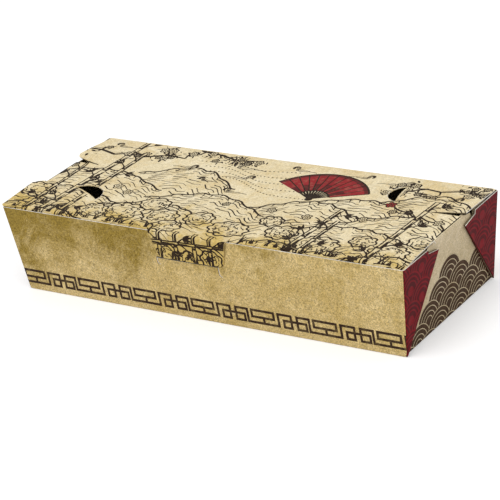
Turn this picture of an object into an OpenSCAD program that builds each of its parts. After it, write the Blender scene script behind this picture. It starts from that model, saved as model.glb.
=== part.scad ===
// Sushi box: one die-cut and creased paperboard sheet, folded to a tray with a hinged lid.
// +X runs along the box, -Y is the front with the lid's tongue, +Z is up.
// The origin is the centre of the underside, which rests on the table.

/* [Board] */
// Thickness of the paperboard
board = 0.5; // [0.4:0.05:0.7]
// Gap that is left between two layers that are folded flat on each other
ply_gap = 0.2; // [0.1:0.05:0.4]

/* [Tray] */
// Length of the base
base_length = 191; // [150:1:240]
// Width of the base
base_width = 73; // [60:1:100]
// Height from the table to the rim
tray_height = 40.4; // [34:0.2:60]
// How far each end wall leans out from the base to the rim
end_flare = 4.5; // [2:0.5:8]
// How far the front and back walls lean out from the base to the rim
side_flare = 2.6; // [1:0.2:5]

/* [End walls] */
// Width of the neck that bends over the top of each end wall
neck_width = 28.4; // [22:0.2:30]
// Outer radius of the soft bend at the top of the neck
neck_bend = 1.8; // [1.2:0.1:3]
// Width of the notch on each side of the neck
notch_width = 5.2; // [4:0.2:6.8]
// Depth of the notch below the rim
notch_depth = 3; // [2:0.2:4]

/* [Gussets] */
// Height of the gusset's inner tip above the table
gusset_tip_height = 36.8; // [26:0.2:37]
// How far the gusset's tip stops short of the middle of the end wall
gusset_tip_from_middle = 11; // [9:0.2:14]
// How far the gusset's top lies below the rim where the notch begins
gusset_step = 1.8; // [1:0.1:3]
// Length of the relief cut in the inner layers at each top corner
relief_length = 9; // [6:0.5:11]
// Depth of the relief cut below the rim
relief_depth = 2; // [1:0.1:3]

/* [Lid] */
// How far the lid stands past each end of the rim
lid_overhang = 1.4; // [0:0.1:2.5]
// Outer radius of the lid's soft front bend
lid_bend = 2; // [1.2:0.1:3]
// Depth of the flaps that tuck in behind the front wall
tuck_depth = 10; // [7:0.5:12]
// Play between the tuck flaps and the front wall
tuck_play = 0.6; // [0.6:0.1:2]
// How far the tuck flaps stop short of each end of the rim
tuck_end_play = 5; // [3:0.5:10]
// Length of the two slits at each end of the lid, measured from the rim
slit_length = 14; // [10:0.5:20]
// Distance of a slit's inner end from the lid's middle line
slit_inner = 9.3; // [8:0.1:10.5]
// Distance of a slit's outer end from the lid's middle line
slit_outer = 12.6; // [12:0.1:13.5]
// Width of a slit at its inner end
slit_width = 1; // [0.6:0.1:1.4]
// Clearance between the lid and the tray where they rest or pass each other
lid_play = 0.1; // [0.05:0.05:0.2]
// Gap between the lid's middle end tab and the neck that bends over the wall
neck_play = 0.3; // [0.2:0.1:0.6]
// Size of the small cut at each corner of the lid
lid_corner = 2; // [1:0.5:3]

/* [Tongue] */
// Place of the tongue along the box, measured from its middle
tongue_x = -2; // [-10:1:10]
// Width of the tongue at the lid
tongue_root_width = 40; // [30:1:50]
// Width of the tongue at its tip
tongue_tip_width = 33.6; // [26:0.2:36]
// Length of the tongue from the rim to its tip
tongue_length = 12.4; // [10:0.2:16]
// Radius of the tongue's two outer corners
tongue_corner = 2.5; // [1:0.5:4]
// Clearance between the tongue and the front wall
tongue_play = 0.5; // [0.4:0.1:0.8]

/* [Tongue slit] */
// Distance of the slit's middle from the middle of the tongue
slot_shift = -2.3; // [-4:0.1:0]
// Length of the straight part of the slit
slot_length = 31.4; // [24:0.2:34]
// Width of the cut
slot_cut = 0.8; // [0.6:0.1:1.2]
// Height of the two legs at the ends of the slit
slot_leg = 4.6; // [3:0.1:6]
// Radius of the hook at the foot of each leg
slot_hook = 2; // [1.5:0.1:3]

/* [Chopstick holes] */
// Depth to which the two half-moon tabs are pushed, as an angle
tab_angle = 78; // [65:1:85]
// Half the fold line of the front half-moon
front_moon_half = 9.6; // [7:0.1:12]
// Height of the front half-moon's arc over its fold line
front_moon_rise = 7.8; // [6:0.1:9]
// Distance of the front half-moon's fold line from the left end of the rim
front_moon_from_end = 28; // [24:0.5:40]
// Distance of the front half-moon's fold line from the front of the rim
front_moon_from_front = 22; // [18:0.5:26]
// Direction of the front half-moon's fold line
front_moon_turn = -27; // [-40:1:0]
// Half the fold line of the back half-moon
back_moon_half = 7.6; // [6:0.1:10]
// Height of the back half-moon's arc over its fold line
back_moon_rise = 6; // [5:0.1:7]
// Distance of the back half-moon's fold line from the right end of the rim
back_moon_from_end = 35.5; // [28:0.5:45]
// Distance of the back half-moon's fold line from the back of the rim
back_moon_from_back = 16; // [14:0.5:24]
// Direction of the back half-moon's fold line
back_moon_turn = 99; // [90:1:110]

/* [Hidden] */
$fn = 48;

rim_length = base_length + 2 * end_flare;
rim_width = base_width + 2 * side_flare;
end_lean = atan(end_flare / tray_height);
side_lean = atan(side_flare / tray_height);
end_slant = tray_height / cos(end_lean);
side_slant = tray_height / cos(side_lean);

// Distance from the rim's outer corner to where the neck's bend is level
neck_tangent = neck_bend / tan((90 - end_lean) / 2);
// The lid's sheet, and its two hinge lines
lid_bottom = tray_height + lid_play;
lid_middle = lid_bottom + board / 2;
hinge_y = rim_width / 2 - board / 2;
tongue_hinge_y = -rim_width / 2 - tongue_play - board / 2;
// The lid's front edge: the corner line of its bend and the tangent line
lid_front_y = -rim_width / 2 + board + tuck_play;
lid_bend_tangent = lid_bend / tan((90 - side_lean) / 2);
lid_half_length = rim_length / 2 + lid_overhang;
tuck_half_length = rim_length / 2 - tuck_end_play;
tab_edge_x = rim_length / 2 - neck_tangent - neck_play;
// Half the width of the lid's middle end tab where it stops at the neck
tab_half = slit_outer - slit_width;
// Middles of the two half-moons' fold lines
front_moon_at = [front_moon_from_end - rim_length / 2, front_moon_from_front - rim_width / 2];
back_moon_at = [rim_length / 2 - back_moon_from_end, rim_width / 2 - back_moon_from_back];
// Length of the flat sheet that is drawn together with the lid's front bend
bend_lead = 3;
bend_steps = 12;
// The rounded edge at a crease is a little thinner than the board
crease_diameter = 0.92 * board;
// A gusset's foot is lifted so that its outer layer doesn't reach below the base
foot_lift = 2 * (board + ply_gap) * tan(end_lean);
overcut = 1;

// Puts a flat drawing on a wall's outside: x runs along the wall, y up its slope
module on_wall(distance, lean) {
    translate([0, -distance, 0]) rotate([90 + lean, 0, 0]) children();
}

// A layer of board on a wall, where layer 0 is the wall itself and 1 and 2 lie outside it
module layer(number) {
    translate([0, 0, number * (board + ply_gap) - board]) linear_extrude(board) children();
}

// Outline of a wall that widens from the base to the rim
module wall_outline(bottom, top, height) {
    polygon([[-bottom / 2, 0], [bottom / 2, 0], [top / 2, height], [-top / 2, height]]);
}

// Curved strip of board whose bend starts upright at the origin and turns towards -z
module bend_strip(width, radius, angle) {
    translate([-width / 2, 0, -radius]) rotate([0, 90, 0]) rotate([0, 0, 180])
        rotate_extrude(angle = -angle) translate([radius - board, 0]) square([board, width]);
}

module base() {
    translate([-base_length / 2, -base_width / 2, 0]) cube([base_length, base_width, board]);
}

module back_wall() {
    mirror([0, 1, 0]) on_wall(base_width / 2, side_lean)
        layer(0) wall_outline(base_length, rim_length, side_slant);
}

// One hooked leg of the slit that takes the tongue
module slit_leg() {
    translate([-slot_cut / 2, slot_hook - slot_leg]) square([slot_cut, slot_leg - slot_hook]);
    translate([slot_hook, slot_hook - slot_leg]) intersection() {
        difference() {
            circle(slot_hook + slot_cut / 2);
            circle(slot_hook - slot_cut / 2);
        }
        translate([-slot_hook - slot_cut, -slot_hook - slot_cut])
            square([slot_hook + slot_cut, slot_hook + slot_cut]);
    }
}

// Outline of the slit, with its straight part along x at the height of the tongue's tip
module tongue_slit() {
    translate([-slot_length / 2 - slot_cut / 2, -slot_cut / 2])
        square([slot_length + slot_cut, slot_cut]);
    for (side = [-1, 1]) translate([side * slot_length / 2, 0]) slit_leg();
}

module front_wall() {
    on_wall(base_width / 2, side_lean) layer(0) difference() {
        wall_outline(base_length, rim_length, side_slant);
        translate([tongue_x + slot_shift, side_slant - tongue_length]) tongue_slit();
    }
}

// The notch beside the neck, with a round bottom
module notch() {
    round_part = notch_width / 4;
    translate([neck_width / 2, end_slant - notch_depth]) {
        translate([0, round_part]) square([notch_width, notch_depth]);
        translate([round_part, 0]) square([notch_width - 2 * round_part, notch_depth]);
        for (x = [round_part, notch_width - round_part])
            translate([x, round_part]) circle(round_part);
    }
}

// The cut that frees the inner layers at a top corner
module corner_relief() {
    translate([rim_width / 2 - relief_length, end_slant - relief_depth])
        square([relief_length + overcut, relief_depth + overcut]);
}

module end_wall() {
    straight_top = end_slant - neck_tangent;
    on_wall(base_length / 2, end_lean) {
        layer(0) difference() {
            wall_outline(base_width, rim_width, end_slant);
            for (side = [0, 1]) mirror([side, 0, 0]) {
                notch();
                corner_relief();
            }
            translate([-neck_width / 2, straight_top]) square([neck_width, neck_tangent + overcut]);
        }
        translate([0, straight_top, 0]) bend_strip(neck_width, neck_bend, 90 + end_lean);
    }
}

// Corner points of a gusset's triangle on the end wall, on the side of +x
gusset_foot = [base_width / 2 + foot_lift * side_flare / tray_height, foot_lift];
gusset_corner = [rim_width / 2, end_slant - lid_play];
gusset_step_x = neck_width / 2 + notch_width;
gusset_tip = [gusset_tip_from_middle, gusset_tip_height / cos(end_lean)];

module gusset_outline() {
    polygon([
        gusset_foot, gusset_corner, [gusset_step_x, gusset_corner[1]],
        [gusset_step_x, end_slant - gusset_step], gusset_tip
    ]);
}

// Strip along one edge of the gusset, where two of its layers are joined by a fold
module edge_strip(from, to, width) {
    run = to - from;
    translate(from) rotate([0, 0, atan2(run[1], run[0])]) square([norm(run), width]);
}

// The web between a side wall and an end wall, folded in two and laid on the end wall.
// Its inner layer hangs on the end wall, its outer one on the side wall.
module gusset() {
    layer(1) difference() {
        gusset_outline();
        corner_relief();
    }
    layer(2) gusset_outline();
    translate([0, 0, board + ply_gap]) linear_extrude(board) intersection() {
        gusset_outline();
        edge_strip(gusset_foot, gusset_tip, -board);
    }
}

// The end of a side wall wraps round the corner edge to reach the gusset's outer layer
module corner_wrap() {
    translate([0, 0, -board]) linear_extrude(3 * board + 2 * ply_gap) intersection() {
        gusset_outline();
        edge_strip(gusset_corner, gusset_foot, -board);
    }
}

module box_end() {
    rotate([0, 0, 90]) {
        end_wall();
        on_wall(base_length / 2, end_lean) for (side = [0, 1]) mirror([side, 0, 0]) {
            gusset();
            corner_wrap();
        }
    }
}

module tray() {
    color("burlywood") {
        base();
        front_wall();
        back_wall();
        for (side = [0, 1]) mirror([side, 0, 0]) box_end();
    }
}

// Radius of a half-moon's arc, from half its fold line and its rise
function moon_radius(half, rise) = (half * half + rise * rise) / (2 * rise);

// Half-moon over a fold line that lies on the x axis
module moon_outline(half, rise) {
    radius = moon_radius(half, rise);
    intersection() {
        translate([0, rise - radius]) circle(radius);
        translate([-half, 0]) square([2 * half, rise + overcut]);
    }
}

// The half-moon pushed down into the box on its fold line
module moon_tab(half, rise) {
    rotate([-tab_angle, 0, 0]) translate([0, 0, -board / 2]) linear_extrude(board)
        moon_outline(half - lid_play, rise - lid_play);
}

module place_moons() {
    translate(front_moon_at) rotate([0, 0, front_moon_turn])
        moon_pick(front_moon_half, front_moon_rise) children();
    translate(back_moon_at) rotate([0, 0, back_moon_turn])
        moon_pick(back_moon_half, back_moon_rise) children();
}

// Hands a half-moon's sizes to the children
module moon_pick(half, rise) {
    $moon_half = half;
    $moon_rise = rise;
    children();
}

// One slit at the lid's end, tapered towards its round inner end
module end_slit() {
    inner_x = rim_length / 2 - slit_length;
    outer_x = lid_half_length + overcut;
    translate([inner_x, slit_inner]) circle(slit_width / 2);
    polygon([
        [inner_x, slit_inner - slit_width / 2], [outer_x, slit_outer - slit_width],
        [outer_x, slit_outer + slit_width / 2], [inner_x, slit_inner + slit_width / 2]
    ]);
}

// The lid's flat top, from the back crease to the start of the front bend
module lid_outline() {
    front = lid_front_y;
    back = hinge_y;
    corner = lid_corner;
    half = lid_half_length;
    difference() {
        polygon([
            [-half, front + corner], [-half + corner, front], [half - corner, front],
            [half, front + corner], [half, back - corner], [half - corner, back],
            [-half + corner, back], [-half, back - corner]
        ]);
        for (turn = [0, 1], side = [0, 1]) mirror([turn, 0]) mirror([0, side]) end_slit();
        for (turn = [0, 1]) mirror([turn, 0]) translate([tab_edge_x, -tab_half])
            square([lid_overhang + neck_tangent + neck_play + overcut, 2 * tab_half]);
        translate([-tuck_half_length, front - overcut])
            square([2 * tuck_half_length, lid_bend_tangent + overcut]);
        place_moons() moon_outline($moon_half, $moon_rise);
    }
    tongue_root();
}

// The stretch of lid that runs over the front wall to the tongue's crease
module tongue_root() {
    front = tongue_hinge_y + board / 2 + lid_play;
    translate([tongue_x - tongue_root_width / 2, front])
        square([tongue_root_width, lid_front_y + lid_bend_tangent - front + board]);
}

// Points on an arc about a centre, from one angle to another
function arc(centre, radius, from, to) = [
    for (step = [0:bend_steps])
        let (angle = from + (to - from) * step / bend_steps)
        centre + radius * [cos(angle), sin(angle)]
];

// Side view of the lid's front: flat sheet, soft bend and flap, with the bend's corner at x = 0
module tuck_profile() {
    centre = [lid_bend_tangent, board - lid_bend];
    flap_end = 180 + side_lean;
    down = tuck_depth * [sin(side_lean), -cos(side_lean)];
    outer = arc(centre, lid_bend, 90, flap_end);
    inner = arc(centre, lid_bend - board, flap_end, 90);
    polygon(concat(
        [[lid_bend_tangent + bend_lead, board]], outer,
        [outer[bend_steps] + down, inner[0] + down],
        inner, [[lid_bend_tangent + bend_lead, 0]]
    ));
}

// One of the two flaps that bend down behind the front wall
module tuck_flap(from, to) {
    translate([from, lid_front_y, lid_bottom]) rotate([90, 0, 90])
        linear_extrude(to - from) tuck_profile();
}

// Rounded edge of the board on a crease line along x
module crease_edge(length) {
    translate([-length / 2, 0, 0]) rotate([0, 90, 0]) cylinder(d = crease_diameter, h = length);
}

module lid() {
    color("wheat") {
        translate([0, 0, lid_bottom]) linear_extrude(board) lid_outline();
        translate([0, hinge_y, lid_middle]) crease_edge(2 * (lid_half_length - lid_corner));
        translate([0, 0, lid_middle]) place_moons() moon_tab($moon_half, $moon_rise);
        tuck_flap(-tuck_half_length, tongue_x - tongue_root_width / 2 - tongue_play);
        tuck_flap(tongue_x + tongue_root_width / 2 + tongue_play, tuck_half_length);
    }
}

// Outline of the tongue below its crease, hanging towards -y
module tongue_outline() {
    straight = tongue_length - tongue_corner;
    corner_x = tongue_tip_width / 2 - tongue_corner;
    polygon([
        [-tongue_root_width / 2, 0], [tongue_root_width / 2, 0],
        [tongue_tip_width / 2, -straight], [-tongue_tip_width / 2, -straight]
    ]);
    translate([-corner_x, -tongue_length]) square([2 * corner_x, tongue_length]);
    for (x = [-corner_x, corner_x]) translate([x, -straight]) circle(tongue_corner);
}

module tongue() {
    color("wheat") translate([tongue_x, tongue_hinge_y, lid_middle]) {
        rotate([90 + side_lean, 0, 0]) translate([0, 0, -board / 2])
            linear_extrude(board) tongue_outline();
        crease_edge(tongue_root_width);
    }
}

tray();
lid();
tongue();
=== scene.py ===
"""Sushi box: one printed, die-cut and folded sheet of paperboard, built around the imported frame."""
import logging
import math
import random
from dataclasses import dataclass, field
from enum import Enum
from functools import partial
from typing import Callable, Iterable

import bpy
from mathutils import Matrix, Vector
from mathutils.geometry import delaunay_2d_cdt


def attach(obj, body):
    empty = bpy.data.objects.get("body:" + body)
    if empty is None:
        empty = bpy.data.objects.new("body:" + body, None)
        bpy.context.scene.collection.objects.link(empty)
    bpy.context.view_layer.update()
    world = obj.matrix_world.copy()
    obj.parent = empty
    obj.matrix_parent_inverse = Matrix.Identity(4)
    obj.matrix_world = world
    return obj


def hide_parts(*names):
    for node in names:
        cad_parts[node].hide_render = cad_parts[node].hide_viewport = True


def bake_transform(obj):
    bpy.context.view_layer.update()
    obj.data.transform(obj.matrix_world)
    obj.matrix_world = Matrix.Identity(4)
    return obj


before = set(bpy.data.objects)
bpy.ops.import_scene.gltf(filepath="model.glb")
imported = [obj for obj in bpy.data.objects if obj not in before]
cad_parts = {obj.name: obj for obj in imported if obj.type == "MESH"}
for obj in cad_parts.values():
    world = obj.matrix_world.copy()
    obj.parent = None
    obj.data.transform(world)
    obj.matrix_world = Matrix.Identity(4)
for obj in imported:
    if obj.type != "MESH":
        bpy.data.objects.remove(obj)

LOG = logging.getLogger("sushi_box")
MM = 0.001
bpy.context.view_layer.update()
Point = tuple[float, float]
Colour = tuple[float, float, float]
Direction = tuple[float, float, float]
Edge = tuple[int, int]
SMALLEST_AREA = 1e-4
SMALLEST_TRIANGLE = 1e-5
SHORTEST_RUN = 1e-6
MERGE_DISTANCE = 1e-5
EDGE_REACH = 0.06
SHARP_ANGLE = 32.0
LEAF_POINT = 0.8


class Finish(Enum):
    """What a stretch of the board shows, or that it is cut away."""

    CUT_OUT = "cut_out"
    LID_PAPER = "lid_parchment"
    WALL_PAPER = "wall_parchment"
    END_PAPER = "end_parchment"
    LID_INK = "lid_brown_ink"
    WALL_INK = "wall_brown_ink"
    WAVE_INK = "wave_brown_print"
    MAROON = "maroon_print"
    RED = "red_print"
    LID_RED = "lid_red_print"
    LID_MAROON = "lid_maroon_print"
    RAW = "raw_cut_edge"
    # Painted shade: a dark colour for the board's inner face and some cut rims, standing in for the shadowed
    # inside of the box and the gaps between layers.
    INSIDE = "plain_inside"


Face = tuple[tuple[int, ...], Finish]


# Flat drawing


def clamped(value: float, top: float = 1.0) -> float:
    """Gives the value, or 0 or the top where it lies outside them."""
    return min(max(value, 0.0), top)


def put_in_scene(name: str, data: bpy.types.ID) -> bpy.types.Object:
    """Makes an object from its mesh, light or camera and puts it in the scene.

    Args:
        name: Name of the object.
        data: Its mesh, light or camera.

    Returns:
        The new object.
    """
    made = bpy.data.objects.new(name, data)
    bpy.context.scene.collection.objects.link(made)
    return made


def signed_area(outline: list[Point]) -> float:
    """Gives the area of an outline, positive where it runs anticlockwise."""
    pairs = zip(outline, outline[1:] + outline[:1])
    return 0.5 * sum(a[0] * b[1] - b[0] * a[1] for a, b in pairs)


def placed(path: list[Point], at: Point, turn: float = 0.0, scale: float = 1.0) -> list[Point]:
    """Moves a path drawn about the origin to its place.

    Args:
        path: Points in millimetres.
        at: Where the path's origin goes.
        turn: Turn in degrees, anticlockwise.
        scale: Factor on the path's size.

    Returns:
        The moved points.
    """
    c = math.cos(math.radians(turn)) * scale
    s = math.sin(math.radians(turn)) * scale
    return [(at[0] + x * c - y * s, at[1] + x * s + y * c) for x, y in path]


def unchanged(point: Point) -> Point:
    """Gives the point itself, for a panel that is drawn as it lies."""
    return point


def arc_path(centre: Point, radius: float, start: float, stop: float, steps: int) -> list[Point]:
    """Gives points on an arc.

    Args:
        centre: Centre of the arc.
        radius: Radius in millimetres.
        start: First angle in degrees.
        stop: Last angle in degrees.
        steps: Number of straight steps.

    Returns:
        One point more than the steps.
    """
    angles = [math.radians(start + (stop - start) * i / steps) for i in range(steps + 1)]
    return [(centre[0] + radius * math.cos(a), centre[1] + radius * math.sin(a)) for a in angles]


def wavy_path(start: Point, stop: Point, bumps: float, height: float, step: float = 1.4) -> list[Point]:
    """Gives a line with even waves across it.

    Args:
        start: First point.
        stop: Last point.
        bumps: Number of whole waves.
        height: Height of a wave to each side.
        step: Distance of the points.

    Returns:
        The points of the line.
    """
    run = Vector(stop) - Vector(start)
    count = max(3, round(run.length / step))
    across = Vector((-run.y, run.x)).normalized()
    path = []
    for i in range(count + 1):
        t = i / count
        p = Vector(start) + run * t + across * height * math.sin(2 * math.pi * bumps * t)
        path.append((p.x, p.y))
    return path


def leaf_outline(length: float, width: float, steps: int = 6) -> list[Point]:
    """Gives the outline of a pointed leaf that grows along x from the origin.

    Args:
        length: Length of the leaf.
        width: Width of the leaf.
        steps: Number of straight steps on each side.

    Returns:
        The corners of the outline.
    """
    upper = []
    for i in range(steps + 1):
        upper.append((length * i / steps, width / 2 * math.sin(math.pi * (i / steps) ** LEAF_POINT)))
    lower = [(x, -y) for x, y in reversed(upper[1:-1])]
    return list(reversed(upper + lower))


@dataclass(frozen=True)
class Shape:
    """One area of a drawing: its corners, its finish, its own name, and the area that it stays within."""

    corners: tuple[int, ...]
    finish: Finish
    zone: str
    within: str


class Drawing:
    """A flat sheet with what is printed on it, painted in order, and what is cut out of it."""

    def __init__(self, outline: list[Point], finish: Finish) -> None:
        """Starts with the bare sheet.

        Args:
            outline: Corners of the sheet.
            finish: What the bare sheet shows.
        """
        self.points: list[Point] = []
        self.shapes: list[Shape] = []
        self.area(outline, finish)

    def area(self, outline: list[Point], finish: Finish, zone: str = "", within: str = "") -> None:
        """Paints or cuts out an area.

        Args:
            outline: Corners of the area, which doesn't cross itself.
            finish: What it shows.
            zone: Name of the area, for others that stay within it.
            within: Name of the area that this one stays within.
        """
        size = signed_area(outline)
        if abs(size) < SMALLEST_AREA:
            return
        corners = outline if size > 0 else outline[::-1]
        first = len(self.points)
        self.points += corners
        self.shapes.append(Shape(tuple(range(first, len(self.points))), finish, zone, within))

    def stroke(self, path: list[Point], width: float, finish: Finish,
               ends: Point = (1.0, 1.0), within: str = "") -> None:
        """Paints a line as a strip of small triangles.

        Args:
            path: Points of the line.
            width: Width in millimetres.
            finish: Ink of the line.
            ends: Factors on the width at the first and the last point.
            within: Name of the area that the line stays within.
        """
        count = len(path)
        if count < 2:
            return
        first = len(self.points)
        for i, (x, y) in enumerate(path):
            before = path[max(i - 1, 0)]
            after = path[min(i + 1, count - 1)]
            run = math.hypot(after[0] - before[0], after[1] - before[1]) or 1.0
            half = 0.5 * width * (ends[0] + (ends[1] - ends[0]) * i / (count - 1))
            nx = -(after[1] - before[1]) / run * half
            ny = (after[0] - before[0]) / run * half
            self.points += [(x + nx, y + ny), (x - nx, y - ny)]
        for i in range(count - 1):
            k = first + 2 * i
            for corners in ((k + 1, k + 3, k + 2), (k + 1, k + 2, k)):
                size = signed_area([self.points[c] for c in corners])
                if abs(size) > SMALLEST_TRIANGLE:
                    ordered = corners if size > 0 else corners[::-1]
                    self.shapes.append(Shape(ordered, finish, "", within))

    def bar(self, start: Point, stop: Point, width: float, finish: Finish) -> None:
        """Paints a straight bar along x or y that stands past its ends by half its width.

        Args:
            start: One end of its middle line.
            stop: The other end.
            width: Width of the bar.
            finish: Ink of the bar.
        """
        half = width / 2
        low = (min(start[0], stop[0]) - half, min(start[1], stop[1]) - half)
        high = (max(start[0], stop[0]) + half, max(start[1], stop[1]) + half)
        self.area([low, (high[0], low[1]), high, (low[0], high[1])], finish)

    def finish_of(self, sources: Iterable[int]) -> Finish | None:
        """Says what a small face of the sheet shows.

        Args:
            sources: Numbers of the shapes that cover the face.

        Returns:
            The finish of the last shape that counts there, or None where the sheet is cut away.
        """
        found = sorted(sources, reverse=True)
        if not found or found[-1] != 0:
            return None
        zones = {self.shapes[i].zone for i in found}
        if any(self.shapes[i].finish is Finish.CUT_OUT for i in found):
            return None
        for i in found:
            shape = self.shapes[i]
            if not shape.within or shape.within in zones:
                return shape.finish
        return None


# Folding


def edges_of(corners: tuple[int, ...] | list[int]) -> list[Edge]:
    """Gives the edges of a face, in order."""
    return list(zip(corners, (*corners[1:], corners[0])))


def straightened(flat: list[Vector], borders: dict[Edge, Finish], slack: float) -> dict[Edge, Finish]:
    """Leaves out the points of a drawing's borders that lie on a straight stretch.

    Args:
        flat: Points of the flat sheet.
        borders: Finish on the left of each border.
        slack: How far a border may move.

    Returns:
        The borders with fewer points.
    """
    sides = dict(borders)
    links: dict[int, dict[int, float]] = {}
    for a, b in borders:
        links.setdefault(a, {})[b] = 0.0
        links.setdefault(b, {})[a] = 0.0
    for v in sorted(links):
        if len(links[v]) != 2:
            continue
        p, q = links[v]
        run = flat[q] - flat[p]
        if q in links[p] or run.length < SHORTEST_RUN:
            continue
        error = abs(run.cross(flat[v] - flat[p])) / run.length + max(links[v].values())
        if error > slack:
            continue
        for start, stop in ((p, q), (q, p)):
            finish = sides.pop((start, v), None)
            sides.pop((v, stop), None)
            if finish is not None:
                sides[start, stop] = finish
            del links[start][v]
            links[start][stop] = error
        del links[v]
    return sides


def flooded(triangles: list[tuple[int, ...]], marks: dict[Edge, Finish | None]) -> list[Face]:
    """Spreads the finish beside each marked edge over the triangles, up to the next marked edge.

    Args:
        triangles: Corner numbers of each triangle.
        marks: Finish on the left of each marked edge, or None where the sheet is cut away.

    Returns:
        The triangles that belong to the sheet, with their finish.
    """
    owner = {edge: t for t, corners in enumerate(triangles) for edge in edges_of(corners)}
    found = {owner[edge]: finish for edge, finish in marks.items() if edge in owner}
    waiting = list(found)
    while waiting:
        t = waiting.pop()
        for a, b in edges_of(triangles[t]):
            other = owner.get((b, a))
            if (a, b) not in marks and other is not None and other not in found:
                found[other] = found[t]
                waiting.append(other)
    return [(corners, found[t]) for t, corners in enumerate(triangles) if found.get(t) is not None]


@dataclass(frozen=True)
class Panel:
    """The plane that a sheet is folded from: an origin on its printed face, and two directions."""

    origin: Vector
    along: Vector
    up: Vector

    def place(self, x: float, y: float, w: float) -> Vector:
        """Gives the point in space of a point of the sheet, w millimetres over its printed face."""
        return self.origin + self.along * x + self.up * y + self.along.cross(self.up) * w


@dataclass(frozen=True)
class Crease:
    """A soft fold of the sheet about a line, which may bow in its middle, away from the printed face."""

    at: Point
    side: Point
    angle: float
    radius: float
    only: Callable[[float, float], bool] | None = None
    bow: float = 0.0
    half: float = 1.0

    @property
    def tangent(self) -> float:
        """Distance from the fold line to where the bend begins."""
        return self.radius * math.tan(math.radians(self.angle) / 2)

    def bend(self, x: float, y: float, w: float) -> tuple[float, float, float]:
        """Folds one point of the sheet.

        Args:
            x: Place along the panel.
            y: Place up the panel.
            w: Height over the printed face.

        Returns:
            The point's place after the fold, in the panel's own directions.
        """
        d = (x - self.at[0]) * self.side[0] + (y - self.at[1]) * self.side[1]
        u = (y - self.at[1]) * self.side[0] - (x - self.at[0]) * self.side[1]
        d -= self.bow * max(0.0, 1 - (u / self.half) ** 2)
        tangent = self.tangent
        if d <= -tangent or (self.only and not self.only(x, y)):
            return x, y, w
        foot = (x - d * self.side[0], y - d * self.side[1])
        turn = math.radians(self.angle)
        if d < tangent:
            a = turn * (d + tangent) / (2 * tangent)
            s = -tangent + (self.radius + w) * math.sin(a)
            n = -self.radius + (self.radius + w) * math.cos(a)
        else:
            s = d * math.cos(turn) + w * math.sin(turn)
            n = -d * math.sin(turn) + w * math.cos(turn)
        return foot[0] + s * self.side[0], foot[1] + s * self.side[1], n


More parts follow.
